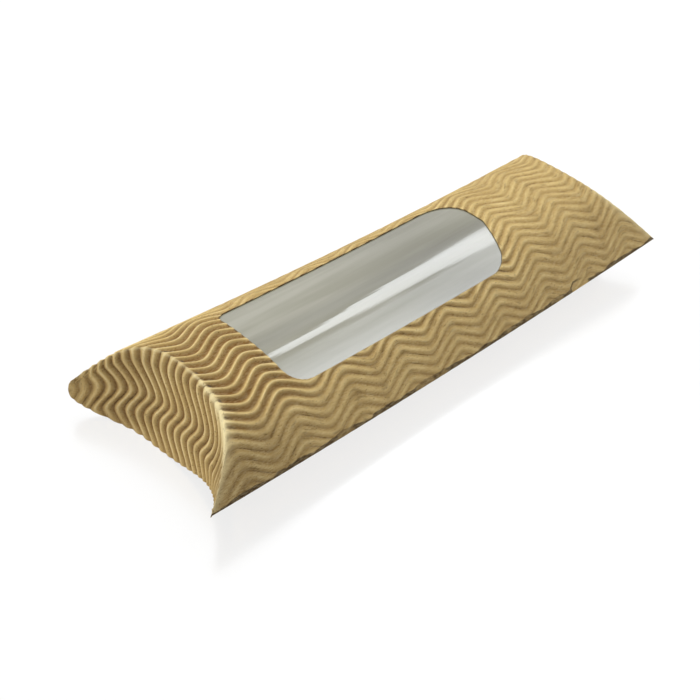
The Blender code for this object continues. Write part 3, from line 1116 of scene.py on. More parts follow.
@dataclass(frozen=True)
class Kraft:
    """Finish of kraft paper.

    Places and widths are in metres on the flat blank, and the crossing's are in waves.
    """

    name: str
    # On the fluted board the dark valley colour is partly painted shade and the pale ridge colour partly
    # painted highlight; the liner mixes them as plain mottling.
    valley: Colour
    ridge: Colour
    # Pale colour of crests scuffed by wear, also used as painted highlight on the crests and on fine wrinkles.
    rubbed_and_highlight: Colour
    fluted: bool = True
    # Pale yellow of the painted highlight along the rounded creases.
    crease_highlight: Colour = (0.98, 0.87, 0.53)
    pit: Colour = (0.06, 0.045, 0.04)
    # Dark brown of the painted shade along the window's back edge.
    rim_shade: Colour = (0.09, 0.05, 0.02)
    # Near-black of the painted shade along the front cut edge and the tear.
    cut_edge_shade: Colour = (0.04, 0.020, 0.010)
    dark_share: float = 0.45
    roughness: float = 0.82
    fibre_gloss: float = 0.14
    # Size of the painted shade and painted highlight of fine wrinkles.
    wrinkle_shading_run: float = 190.0
    wrinkle_shading_side: float = 2.6
    crease_highlight_place: float = 0.0006
    crease_highlight_shift: float = 0.0014
    crease_highlight_reach: float = 0.0008
    crease_highlight_spread: float = 0.0025
    crease_highlight_side: Span = (0.012, -0.024)
    crossing_turn: float = -0.74
    crossing_reach: float = 0.035
    crossing_past: Span = (0.010, 0.014)
    pit_start: Span = (-0.0020, -0.0012)
    pit_stop: Span = (-0.0004, -0.0009)
    pit_side: Span = (-0.024, -0.016)
    # Where the painted shade on the flaps past the back of the creases lies.
    far_shade_rise: Span = (0.004, 0.020)
    far_shade_fall: Span = (0.036, 0.028)
    far_shade_past: Span = (0.001, 0.005)
    # Where the painted shade over the near front corner lies.
    near_shade_side: Span = (-0.020, -0.036)
    near_shade_end: Span = (-0.052, -0.092)
    rim_shade_width: Span = (0.0005, 0.0002)
    rim_shade_side: Span = (0.0, 0.006)
    fray: float = 0.0045
    cut_shade_width: Span = (0.0015, 0.0011)
    torn_start: Span = (0.0555, 0.0565)
    torn_stop: Span = (0.0655, 0.0645)
    tear_shade_width: Span = (0.00042, 0.00028)
    tear: tuple[Span, ...] = ((0.0556, 0.0), (0.0556, 0.0018), (0.0570, 0.0033), (0.0638, 0.0028))

    def material(self) -> bpy.types.Material:
        """Build the material.

        Returns:
            Paper that is lighter on the crests from wear and painted highlight, with painted shade in its
            valleys, fibres and specks.
        """
        material, tree, shader = new_material(self.name, Specular_IOR_Level=0.15)
        grain = tree.node("ShaderNodeGroup", node_tree=Grain().group())
        mottle, fibres, specks, height = (Value(tree, output) for output in grain.outputs)
        if self.fluted:
            colour = self._flutes(tree, mottle, height)
        else:
            colour = tree.mix(mottle.ramp(0.3, 0.7), self.valley, self.ridge)
        colour = tree.mix(fibres * 0.16, colour, self.rubbed_and_highlight)
        colour = tree.mix(specks * 0.5, colour, self._dark())
        tree.feed(shader.inputs["Base Color"], colour)
        gloss = fibres.ramp(0.0, 1.0, self.roughness, self.roughness - self.fibre_gloss)
        tree.feed(shader.inputs["Roughness"], gloss)
        tree.bump(shader, height, 0.35, 0.00012)
        return material

    def _dark(self) -> Colour:
        """Colour of the paper's deepest shade."""
        return tuple(self.dark_share * part for part in self.valley)

    def _flutes(self, tree: Tree, mottle: Value, height: Value) -> Value:
        """Colour of the flutes: pale crests and brown valleys, partly painted highlight and painted shade, with
        marks of use and more painted shade and highlight laid over them.

        Args:
            tree: Tree of the material.
            mottle: Large soft patches of the paper.
            height: Fine relief of the paper.

        Returns:
            The colour.
        """
        crest, kink, slant, turns, phase = map(tree.read, ("crest", "kink", "slant", "turns", "phase"))
        across, along, past, relief = map(tree.read, ("across", "along", "past", "relief"))
        front, window = map(tree.read, ("front", "window"))
        dark = self._dark()
        low = across.ramp(0.0, LOW_SIDE)
        flat = relief.ramp(0.90, 0.50)
        # Crest and valley tone: darker valleys are partly painted shade, paler crests partly painted highlight;
        # lighter where the flutes are pressed low.
        tone = (crest - 0.45) * relief + relief.ramp(1.0, 0.4, 0.47, 0.53)
        share = tree.math("ADD", tone, (mottle - 0.5) * 0.35, clamp=True)
        # Paler crests, partly wear and partly a painted highlight along the tops of the flutes.
        rub_and_highlight = crest.ramp(0.80, 1.0) * mottle.ramp(0.35, 0.65, 0.25, 0.9) * relief.ramp(0.35, 0.95, 0.12, 0.60)
        # Painted highlight: a pale band along the rounded crease, where it catches the light.
        crease_highlight = (past - (low * self.crease_highlight_shift + self.crease_highlight_place)).bell(low * self.crease_highlight_spread + self.crease_highlight_reach)
        crease_highlight = crease_highlight * across.ramp(*self.crease_highlight_side, 0.35, 1.0) * mottle.ramp(0.30, 0.60, 0.6, 1.0)
        # Painted shade in the crumples at the wave's sharp turns.
        crumple = kink * height.ramp(0.55, 0.75)
        # Painted shade in the valleys of the runs that slant one way.
        slant_valley_shade = slant.ramp(0.2, 0.8) * crest.ramp(0.22, 0.0) * mottle.ramp(0.48, 0.60, 0.0, 0.75)
        crossing = (turns - self.crossing_turn).bell(self.crossing_reach) * past.ramp(*self.crossing_past)
        crossing = crossing * (height + crest * -0.35).ramp(0.30, 0.50)
        other = tree.math("COSINE", phase * math.pi).ramp(0.0, 0.6)
        pit = past.ramp(*self.pit_start) * past.ramp(*self.pit_stop) * crest.ramp(0.30, 0.08) * other
        # Painted shade and painted highlight of fine wrinkles along the flattened flutes.
        spot = tree.call("ShaderNodeCombineXYZ", along * self.wrinkle_shading_run, phase * self.wrinkle_shading_side)
        wrinkle_shading = tree.noise(1.0, 3.0, Vector=spot)
        # Painted shade on the flaps just past the creases, towards the back of the box.
        far = across.ramp(*self.far_shade_rise, 0.0, 0.18) * past.ramp(*self.far_shade_past) * across.ramp(*self.far_shade_fall)
        # Painted shade over the near front corner of the top.
        near_corner_shade = across.ramp(*self.near_shade_side) * along.ramp(*self.near_shade_end)
        # Painted shade in dashes along the window's back edge, where the cut face and the gap under it lie in
        # shade.
        rim_shade = window.ramp(*self.rim_shade_width) * across.ramp(*self.rim_shade_side) * crest.ramp(0.75, 0.45)
        layers = (
            (rub_and_highlight, self.rubbed_and_highlight),
            (crease_highlight * 0.92, self.crease_highlight),
            (crumple * 0.35, dark),
            (slant_valley_shade, dark),
            (crossing * 0.85, dark),
            (pit * across.ramp(*self.pit_side, 0.15, 0.75), self.pit),
            (wrinkle_shading.ramp(0.55, 0.72, 0.0, 0.42) * flat, dark),
            (wrinkle_shading.ramp(0.46, 0.28, 0.0, 0.18) * flat, self.rubbed_and_highlight),
            (far, dark),
            (near_corner_shade * 0.36, dark),
            (rim_shade * 0.85, self.rim_shade),
            # Painted shade along the front cut edge and the tear.
            (self._front_edge_shade(tree, mottle, along, front) * 0.9, self.cut_edge_shade),
        )
        # Base tone from valley to ridge colour: painted shade in the valleys and painted highlight on the
        # crests, besides the paper's own tone.
        colour = tree.mix(share, self.valley, self.ridge)
        for mask, paint in layers:
            colour = tree.mix(mask, colour, paint)
        return colour

    def _front_edge_shade(self, tree: Tree, mottle: Value, along: Value, front: Value) -> Value:
        """Mask of the painted shade along the top's front cut edge, and along the tear that runs in from it.

        Args:
            tree: Tree of the material.
            mottle: Large soft patches of the paper, which fray the cut.
            along: Place along the box.
            front: Distance from the front edge.

        Returns:
            1 on the painted shade of the cut and of the tear, which fades out along its length.
        """
        torn_off = along.ramp(*self.torn_start) * along.ramp(*self.torn_stop)
        cut = (front + (mottle - 0.5) * self.fray).ramp(*self.cut_shade_width)
        cut = cut * mottle.ramp(0.38, 0.46, 0.55, 1.0) * (1.0 - torn_off)
        spot = tree.call("ShaderNodeCombineXYZ", along, front)
        nearest: object = 1.0
        for start, stop in zip(self.tear, self.tear[1:]):
            run = Vector((stop[0] - start[0], stop[1] - start[1], 0))
            offset = tree.vector("SUBTRACT", spot, (*start, 0))
            part = tree.vector("DOT_PRODUCT", offset, run / run.length_squared, output="Value")
            part = tree.math("MULTIPLY", part, 1.0, clamp=True)
            nearest = tree.vector("DISTANCE", offset, tree.scaled(run, part), output="Value").or_less(nearest)
        fading = along.ramp(self.tear[-1][0], self.tear[2][0])
        return cut.or_more(nearest.ramp(*self.tear_shade_width) * fading)


@dataclass(frozen=True)
class Film:
    """Finish of the window film: glossy, a little cloudy, with faint streaks and a painted darker reflection.
    """

    name: str = "window_film"
    tint: Colour = (0.27, 0.262, 0.205)
    pale: Colour = (0.35, 0.342, 0.285)
    roughness: float = 0.06
    streak_scale: float = 160.0
    streak_stretch: float = 0.08
    dark_reflection_along: float = 0.014
    dark_reflection_length: float = 0.030
    dark_reflection_share: float = 0.24
    dark_band_across: float = -0.0035
    dark_band_reach: float = 0.0035
    dark_band_share: float = 0.22

    def material(self) -> bpy.types.Material:
        """Build the material.

        Returns:
            A glossy film, with a painted darker reflection in its middle and in a band down its length.
        """
        material, tree, shader = new_material(self.name, IOR=1.85, Alpha=0.93)
        place = tree.call("ShaderNodeTexCoord", output="Object")
        named = {"Vector": place, "Scale": (self.streak_stretch, 1.0, 1.0)}
        streak = tree.noise(self.streak_scale, 3.0, Vector=tree.call("ShaderNodeMapping", named=named))
        along, across = (tree.call("ShaderNodeSeparateXYZ", place, output=axis) for axis in "XY")
        # Painted reflection: a darker patch in the middle and a darker band down the film's length.
        shade = (along - self.dark_reflection_along).bell(self.dark_reflection_length) * self.dark_reflection_share
        shade = shade + (across - self.dark_band_across).bell(self.dark_band_reach) * self.dark_band_share
        colour = tree.mix(streak.ramp(0.35, 0.68), self.tint, self.pale)
        tree.feed(shader.inputs["Base Color"], tree.mix(shade, colour, (0, 0, 0)))
        gloss = streak.ramp(0.3, 0.7, self.roughness - 0.03, self.roughness + 0.05)
        tree.feed(shader.inputs["Roughness"], gloss)
        tree.bump(shader, streak, 0.12, 0.0004)
        return material


@dataclass(frozen=True)
class Glue:
    """Finish of the dried white glue."""

    name: str = "dried_glue"
    tone: Colour = (0.78, 0.75, 0.64)
    shaded: float = 0.7
    blot_scale: float = 420.0

    def material(self) -> bpy.types.Material:
        """Build the material.

        Returns:
            Blotchy dried glue.
        """
        material, tree, shader = new_material(self.name)
        blot = tree.noise(self.blot_scale, 2.0, Vector=tree.call("ShaderNodeTexCoord", output="Object"))
        colour = tree.mix(blot.ramp(0.35, 0.7), self.tone, tuple(self.shaded * part for part in self.tone))
        tree.feed(shader.inputs["Base Color"], colour)
        tree.feed(shader.inputs["Roughness"], blot.ramp(0.3, 0.7, 0.35, 0.6))
        tree.bump(shader, blot, 1.0, 0.0002)
        return material


def make_finishes() -> dict[str, bpy.types.Material]:
    """Make the four finishes of the box.

    Returns:
        The materials by material slot.
    """
    fluted = Kraft("fluted_kraft", (0.178, 0.087, 0.023), (0.62, 0.45, 0.185), (0.86, 0.73, 0.42))
    liner = Kraft("liner_kraft", (0.37, 0.26, 0.11), (0.48, 0.35, 0.15), (0.62, 0.49, 0.26), fluted=False)
    finishes = {"fluted_kraft": fluted, "liner_kraft": liner, "clear_film": Film(), "dried_glue": Glue()}
    return {slot: finish.material() for slot, finish in finishes.items()}


class Maker:
    """Draws and lays the plies, and gives each the finish of its slot."""

    def __init__(self, top: Wrap, bottom: Wrap) -> None:
        """Keep the surfaces, and build the trees and finishes.

        Args:
            top: Surface of the top and the outer flaps.
            bottom: Surface of the bottom and the inner flaps.
        """
        self.top = top
        self.bottom = bottom
        self.fluted_ply = FlutedPly()
        self.plain_ply = PlainPly()
        self.finishes = make_finishes()

    @staticmethod
    def pitch(wrap: Wrap) -> float:
        """Pitch at which a whole number of flutes fills the panel."""
        return 2 * wrap.half_width / round(2 * wrap.half_width / BOARD.pitch)

    def ply(self, name: str, blank: Blank, depth: float, slot: str, **values: float) -> bpy.types.Object:
        """Finish a ply from its cut blank.

        Args:
            name: Name of the piece.
            blank: Its cut blank.
            depth: Depth of its outer face below the crests.
            slot: Its material slot.
            **values: Inputs of its tree.

        Returns:
            The piece.
        """
        rule = self.plain_ply
        if slot == "fluted_kraft":
            rule = self.fluted_ply
            values = {"Pitch": self.pitch(blank.wrap), "Half_Width": blank.wrap.half_width, **values}
        piece = rule.apply(blank.mesh(name, depth), self.finishes[slot], **values)
        return piece

    def grid(
        self, wrap: Wrap, start: float, stop: float, fluted: bool, step: float, skew: FlapWave = FlapWave()
    ) -> Blank:
        """Draw a blank over a stretch of the box, wider than its panel.

        Args:
            wrap: Surface that it is laid on.
            start: Its left end.
            stop: Its right end.
            fluted: Whether its columns follow the flutes.
            step: Distance between its rows.
            skew: How its flutes run askew.

        Returns:
            The blank.
        """
        rows = np.linspace(start, stop, max(2, round((stop - start) / step) + 1))
        if not fluted:
            reach = wrap.half_width * SPARE_SHARE
            return Blank(wrap, np.linspace(-reach, reach, round(2 * reach / step) + 1), rows, False)
        pitch = self.pitch(wrap)
        spare = round(STEPS_PER_FLUTE * abs(skew.drift) * FLAPS.cover_length / BOARD.pitch) + SPARE_STEPS
        count = round(2 * wrap.half_width / pitch) * STEPS_PER_FLUTE + spare
        steps = range(-SPARE_STEPS, count + 1)
        columns = [-wrap.half_width + (step / STEPS_PER_FLUTE) * pitch for step in steps]
        return Blank(wrap, columns, rows, True, skew)


@dataclass(frozen=True)
class Wear:
    """How high the top's flutes still stand, and where that changes on the flat blank."""

    front: float = 0.42
    front_gain: float = 0.25
    front_reach: Span = (0.010, 0.024)
    back: float = 0.35
    back_gain: float = 0.40
    back_side: Span = (0.016, 0.024)
    dip: float = 0.20
    dip_start: Span = (-0.070, -0.060)
    dip_stop: Span = (0.030, 0.045)
    dip_side: Span = (0.012, 0.020)
    right: float = 0.31
    right_end: Span = (0.030, 0.050)
    whole_end: Span = (-0.070, -0.050)
    whole_side: Span = (-0.032, -0.014)

    def standing(self, across: Array, along: Array, half_width: float) -> Array:
        """Share of the flutes' height that is left.

        Args:
            across: Places across the flat blank.
            along: Places along it.
            half_width: Half width of the flat panel.

        Returns:
            The share, 1 where they are whole.
        """
        low, high = self.front_reach
        front = self.front + self.front_gain * step_up(across, -half_width + low, -half_width + high)
        beside = step_up(along, *self.dip_start) * (1 - step_up(along, *self.dip_stop))
        back = self.back + self.back_gain * (1 - step_up(across, *self.back_side))
        back = back - self.dip * beside * step_up(across, *self.dip_side)
        middle = np.where(across < 0, front, back)
        middle = middle + (self.right - middle) * step_up(along, *self.right_end)
        whole = 1 - step_up(along, *self.whole_end)
        return middle + (1.0 - middle) * whole * step_up(across, *self.whole_side)


@dataclass
class Sleeve:
    """The glued sleeve: top, bottom, seam tab, window film and glue."""

    maker: Maker
    wear: Wear = Wear()
    row_step: float = 0.00115
    tab_row_share: float = 1.3
    liner_step: float = 0.0020
    film_step: float = 0.0008
    film_spare: float = 0.001
    tab_width: float = 0.0110
    tab_end_gap: float = 0.0080
    tab_taper_share: float = 0.8
    tab_glue_edge: float = 0.0020
    edge_gap: float = 0.00005
    ear_clearance: float = 0.0024
    front_overhang: float = 0.0002
    front_fade: float = 0.0018
    ridge_power: float = 1.7
    bottom_relief: float = 0.8

    def build(self) -> None:
        """Build every piece of the sleeve."""
        self._top()
        self._bottom()
        self._seam()
        self._window()

    def _finish(self, node: str, name: str, blank: Blank, depth: float, slot: str, **values: float) -> None:
        """Finish a piece and hang it on the sleeve.

        Args:
            node: CAD node that it takes the place of.
            name: Name of the piece.
            blank: Its cut blank.
            depth: Depth of its outer face below the crests.
            slot: Its material slot.
            **values: Inputs of its tree.
        """
        piece = self.maker.ply(name, blank, depth, slot, **values)
        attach(piece, "sleeve")
        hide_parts(node)
        log.info("built %s", name)

    def _panel(self, wrap: Wrap, fluted: bool) -> Blank:
        """A blank over the whole of a panel."""
        half = SLEEVE.half_length
        return self.maker.grid(wrap, -half, half, fluted, self.row_step if fluted else self.liner_step)

    def _liner(self, node: str, name: str, blank: Blank) -> None:
        """Finish the liner of a panel."""
        values = {"Ply": BOARD.liner_ply, "Crushed_Depth": BOARD.liner_press}
        self._finish(node, name, blank, BOARD.liner_depth, "liner_kraft", **values)

    def _top_relief(self, across: Array, along: Array) -> Array:
        """How high the flutes of the top still stand.

        Args:
            across: Places across the flat blank.
            along: Places along it.

        Returns:
            The share of their height, less at the ears and the front edge.
        """
        share = self.wear.standing(across, along, self.maker.top.half_width)
        pressed = 0.2 + 0.8 * step_up(self._front_lead(across, along), 0.0, self.front_fade)
        return share * ear_share(self.maker.top, across, along) * pressed

    def _front_lead(self, across: Array, along: Array) -> Array:
        """Distance on the blank above the top's front edge, the same all along it."""
        return across + self.maker.top.half_width + self.front_overhang

    def _top(self) -> None:
        """Build the top's fluted ply and its liner, with the window cut out."""
        wrap = self.maker.top
        for fluted in (True, False):
            blank = self._panel(wrap, fluted)
            for end in End:
                blank.cut(lambda across, along, end=end: -wrap.past(across, along, end))
            blank.cut(self._front_lead)
            blank.cut(lambda across, along: wrap.half_width - across)
            if fluted:
                blank.cut(WINDOW.lead)
                blank.marks = {"window": WINDOW.lead, "relief": self._top_relief, "front": self._front_lead}
                self._finish(
                    "top_flutes", "top_fluted_ply", blank, 0.0, "fluted_kraft", Ridge_Power=self.ridge_power
                )
            else:
                blank.cut(lambda across, along: WINDOW.lead(across, along) - WINDOW.liner_edge)
                self._liner("top_liner", "top_liner_ply", blank)

    def _bottom(self) -> None:
        """Build the bottom's fluted ply and its liner."""
        wrap = self.maker.bottom
        for fluted in (True, False):
            blank = self._panel(wrap, fluted)
            for end in End:
                blank.cut(lambda across, along, end=end: self._bottom_lead(across, along, end))
            blank.cut(lambda across, along: wrap.half_width - np.abs(across))
            if fluted:
                standing = self.bottom_relief
                blank.marks["relief"] = lambda across, along: standing * ear_share(wrap, across, along)
                self._finish("bottom_flutes", "bottom_fluted_ply", blank, 0.0, "fluted_kraft")
            else:
                self._liner("bottom_liner", "bottom_liner_ply", blank)

    def _bottom_lead(self, across: Array, along: Array, end: End) -> Array:
        """Distance inside one end of the bottom, trimmed beside the inner flap."""
        return -self.maker.bottom.past(across, along, end) - self._ear_trim(across, end)

    def _ear_trim(self, across: Array, end: End) -> Array:
        """How far the bottom stops short of the outer flap beside the inner flap.

        Args:
            across: Places across the flat blank.
            end: Which end.

        Returns:
            The distance along the blank.
        """
        wrap = self.maker.bottom
        step = 1e-4
        side = wrap.sections[end].at(across / wrap.half_width)[0]
        slope = (wrap.crease_inset(side + step, end) - wrap.crease_inset(side - step, end)) / (2 * step)
        tuck = FLAPS.tuck_reach_share
        beyond = step_up(np.abs(across) / wrap.half_width, tuck + 0.01, tuck + 0.14)
        return self.ear_clearance * beyond * np.sqrt(1 + slope**2)

    def _tab_blank(self, fluted: bool, edge: float) -> Blank:
        """Cut the blank of the seam tab, or of the glue on it.

        Args:
            fluted: Whether its columns follow the flutes.
            edge: How far it stays inside the tab's outline.

        Returns:
            The cut blank.
        """
        wrap = self.maker.top
        half = SLEEVE.half_length
        step = self.row_step * self.tab_row_share if fluted else self.liner_step
        blank = self.maker.grid(wrap, -half, half, fluted, step)
        blank.cut(lambda across, along: self.tab_width - edge - wrap.half_width - across)

        def above_fold(points: Array) -> Array:
            """Height of the points above the bottom's edge."""
            return points[:, 2] - SLEEVE.fold_height(points[:, 0]) - self.edge_gap - edge

        def inside_end(across: Array, along: Array, end: End) -> Array:
            """Distance inside the slanted end of the tab."""
            reach = half - self.tab_end_gap - edge - (across + wrap.half_width) * (1 + self.tab_taper_share)
            return reach - end.value * along

        blank.cut_laid(BOARD.lap_depth, above_fold)
        for end in End:
            blank.cut(lambda across, along, end=end: inside_end(across, along, end))
        return blank

    def _seam(self) -> None:
        """Build the tab under the front edge and its glue."""
        depth = BOARD.lap_depth
        flutes = self._tab_blank(True, 0.0)
        self._finish("seam_tab_flutes", "seam_tab_fluted_ply", flutes, depth, "fluted_kraft")
        depth = depth + BOARD.liner_depth
        liner, glue = self._tab_blank(False, 0.0), self._tab_blank(False, self.tab_glue_edge)
        self._finish("seam_tab_liner", "seam_tab_liner_ply", liner, depth, "liner_kraft", Ply=BOARD.liner_ply)
        self._finish("seam_glue", "seam_glue_bead", glue, BOARD.glue_depth, "dried_glue", Ply=BOARD.glue_ply)

    def _window(self) -> None:
        """Build the film behind the window and the glue round it."""
        reach = WINDOW.length / 2 + WINDOW.film_margin + self.film_spare
        span = (self.maker.top, WINDOW.shift_along - reach, WINDOW.shift_along + reach, False)
        film = self.maker.grid(*span, self.film_step)
        film.cut(lambda across, along: WINDOW.film_margin - WINDOW.lead(across, along))
        film.marks["window"] = WINDOW.lead
        values = {"Ply": BOARD.film_ply, "Crushed_Depth": BOARD.film_lift}
        self._finish("window_film", "window_film_sheet", film, BOARD.lap_depth, "clear_film", **values)
        glue = self.maker.grid(*span, self.liner_step)
        glue.cut(lambda across, along: WINDOW.film_margin - WINDOW.glue_edge - WINDOW.lead(across, along))
        glue.cut(lambda across, along: WINDOW.lead(across, along) - WINDOW.glue_edge)
        self._finish("film_glue", "film_glue_ring", glue, BOARD.glue_depth, "dried_glue", Ply=BOARD.glue_ply)


@dataclass
class EndFlaps:
    """The outer and inner flap of one end."""

    maker: Maker
    end: End
    row_step: float = 0.0010
    liner_step: float = 0.0016
    bend_reach: float = 0.0120
    tuck_bend: tuple[float, float] = (0.0018, 0.0110)
    tip_gap: float = 0.0004
    liner_inset: float = 0.0030
    edge_fade: float = 0.004
    ridge_power: float = 0.7
    crumple: float = 0.00025

    @property
    def side(self) -> str:
        """Word for the end in the names of its pieces."""
        return self.end.name.lower()

    def build(self) -> None:
        """Build both flaps."""
        for closure in Closure:
            for ply in ("flutes", "liner"):
                self._ply(closure, ply)

    def _blank(self, closure: Closure, fluted: bool) -> Blank:
        """Cut the blank of one ply of a flap.

        Args:
            closure: Which flap.
            fluted: Whether it is the fluted ply.

        Returns:
            The cut blank.
        """
        wrap = self.maker.top if closure is Closure.COVER else self.maker.bottom
        half = SLEEVE.half_length
        near, far = half - 2 * WAVE.length, half + FLAPS.cover_length
        start, stop = sorted((self.end.value * near, self.end.value * far))
        step = self.row_step if fluted else self.liner_step
        blank = self.maker.grid(wrap, start, stop, fluted, step, self._skew(closure))
        blank.cut(lambda across, along: wrap.past(across, along, self.end))
        if closure is Closure.COVER:
            self._trim_cover(blank, fluted)
        else:
            self._trim_tuck(blank)
        return blank

    def _skew(self, closure: Closure) -> FlapWave:
        """How the flutes run: askew on the left outer flap, straight on the others."""
        askew = closure is Closure.COVER and self.end is End.LEFT
        return FlapWave(drift=0.27, tilt=0.16, lag=0.003) if askew else FlapWave()

    def _trim_cover(self, blank: Blank, fluted: bool) -> None:
        """Cut the outer flap's arched free edge and its tips.

        Args:
            blank: Blank of one ply of the flap.
            fluted: Whether it is the fluted ply.
        """
        wrap = blank.wrap
        width = wrap.half_width
        inset = 0.0 if fluted else self.liner_inset
        deepest = BOARD.flute_height + BOARD.flute_ply if fluted else BOARD.liner_depth + BOARD.liner_ply

        def free_edge(across: Array, along: Array) -> Array:
            """Distance inside the arched free edge.

            Args:
                across: Places across the flat blank.
                along: Places along it.

            Returns:
                The distance, negative outside.
            """
            skewed = across / width - FLAPS.cover_skew
            half = np.where(skewed > 0, 1 + FLAPS.cover_overhang_share, 1.0)
            half = half - np.sign(skewed) * FLAPS.cover_skew
            length = FLAPS.cover_length * (1 - np.abs(skewed / half) ** FLAPS.cover_power)
            radius = FLAPS.cover_corner
            corner = np.clip(radius - (FLAPS.cover_reach_share * width - across), 0, radius)
            rounded = radius - np.sqrt(radius**2 - corner**2)
            return length - rounded - wrap.past(across, along, self.end)

        def side_gap(points: Array) -> Array:
            """Distance inside the outline of the sleeve's end."""
            gap = np.where(points[:, 1] < 0, self.tip_gap + inset, -3 * self.tip_gap)
            return crown_half_span(self.end) - gap - np.abs(points[:, 1])

        def relief(across: Array, along: Array) -> Array:
            """How high the flutes still stand."""
            edge = step_up(free_edge(across, along), 0.0, self.edge_fade)
            return (0.4 + 0.6 * ear_share(wrap, across, along)) * (0.5 + 0.4 * edge)

        blank.cut(lambda across, along: width * FLAPS.cover_reach_share - np.abs(across))
        blank.cut(free_edge)
        blank.cut_laid(deepest, side_gap)
        blank.marks["relief"] = relief

    def _trim_tuck(self, blank: Blank) -> None:
        """Cut the inner flap's arched free edge.

        Args:
            blank: Blank of one ply of the flap.
        """
        wrap = blank.wrap
        width = wrap.half_width * FLAPS.tuck_reach_share

        def free_edge(across: Array, along: Array) -> Array:
            """Distance inside the arched free edge."""
            length = FLAPS.tuck_length * (1 - np.abs(across / width) ** FLAPS.tuck_power)
            return length - wrap.past(across, along, self.end)

        blank.cut(free_edge)
        blank.cut(lambda across, along: width - np.abs(across))

    def _ply(self, closure: Closure, ply: str) -> None:
        """Build one ply of a flap, bending over from the sleeve at its crease.

        Args:
            closure: Which flap.
            ply: flutes or liner.
        """
        flap = f"{self.side}_{closure.value}"
        node = f"{flap}_{ply}"
        blank = self._blank(closure, ply == "flutes")
        if ply == "flutes":
            skew = self._skew(closure)
            askew = {"Drift": skew.drift, "Tilt": skew.tilt, "Lag": skew.lag}
            values = {"Ridge_Power": self.ridge_power, "Kink": self.crumple, **askew}
            piece = self.maker.ply(f"{flap}_fluted_ply", blank, 0.0, "fluted_kraft", **values)
        else:
            values = {"Ply": BOARD.liner_ply, "Crushed_Depth": BOARD.liner_press}
            piece = self.maker.ply(f"{flap}_liner_ply", blank, BOARD.liner_depth, "liner_kraft", **values)
        start, stop = self._bend(closure)
        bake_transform(piece)
        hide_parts(node)
        log.info("built %s", piece.name)

    def _bend(self, closure: Closure) -> tuple[tuple[float, ...], tuple[float, ...]]:
        """Find where the bend of a flap lies.

        Args:
            closure: Which flap.

        Returns:
            Where it starts and stops.
        """
        wrap = self.maker.bottom if closure is Closure.TUCK else self.maker.top
        root = wrap.crease_point(np.array([0.0]), self.end)[0]
        if closure is Closure.TUCK:
            low, high = self.tuck_bend
            return (root[0], 0.0, low), (root[0], 0.0, high)
        left = self.end is End.LEFT
        depth = SLEEVE.left_crease_depth if left else SLEEVE.right_crease_depth
        rise = SLEEVE.left_rise if left else SLEEVE.right_rise
        square = np.array([self.end.value * rise, 0.0, -depth]) / math.hypot(depth, rise)
        return tuple(root), tuple(root + self.bend_reach * square)


@dataclass(frozen=True)
class Lamp:
    """A rectangular lamp that faces down, or is tipped about the Y axis. Angles in degrees."""

    name: str
    place: tuple[float, float, float]
    turn: float
    width: float
    depth: float
    power: float
    colour: Colour
    tip: float = 0.0
    reflected: bool = False

    def hang(self) -> None:
        """Hang the lamp over the box."""
        data = bpy.data.lights.new(self.name, "AREA")
        data.shape = "RECTANGLE"
        data.size = self.width
        data.size_y = self.depth
        data.energy = self.power
        data.color = self.colour
        lamp = placed(self.name, data)
        lamp.location = self.place
        lamp.rotation_euler = (0, math.radians(self.tip), math.radians(self.turn))
        lamp.visible_glossy = self.reflected


@dataclass(frozen=True)
class Glow:
    """A glowing panel overhead, whose reflection shows on the film."""

    name: str
    corners: tuple[tuple[float, float, float], ...]
    colour: Colour = (0.94, 0.97, 1.0)

    def hang(self, height: float) -> None:
        """Hang the panel; each corner has its place and the strength of its light.

        Args:
            height: Height above the table.
        """
        mesh = bpy.data.meshes.new(self.name)
        mesh.from_pydata([(x, y, height) for x, y, _ in self.corners], [], [tuple(range(len(self.corners)))])
        store(mesh, "glow", np.array([strength for _, _, strength in self.corners]))
        values = {"Base_Color": (0, 0, 0, 1), "Emission_Color": (*self.colour, 1)}
        material, tree, shader = new_material(self.name, **values)
        tree.feed(shader.inputs["Emission Strength"], tree.read("glow"))
        mesh.materials.append(material)
        panel = placed(self.name, mesh)
        panel.visible_camera = False


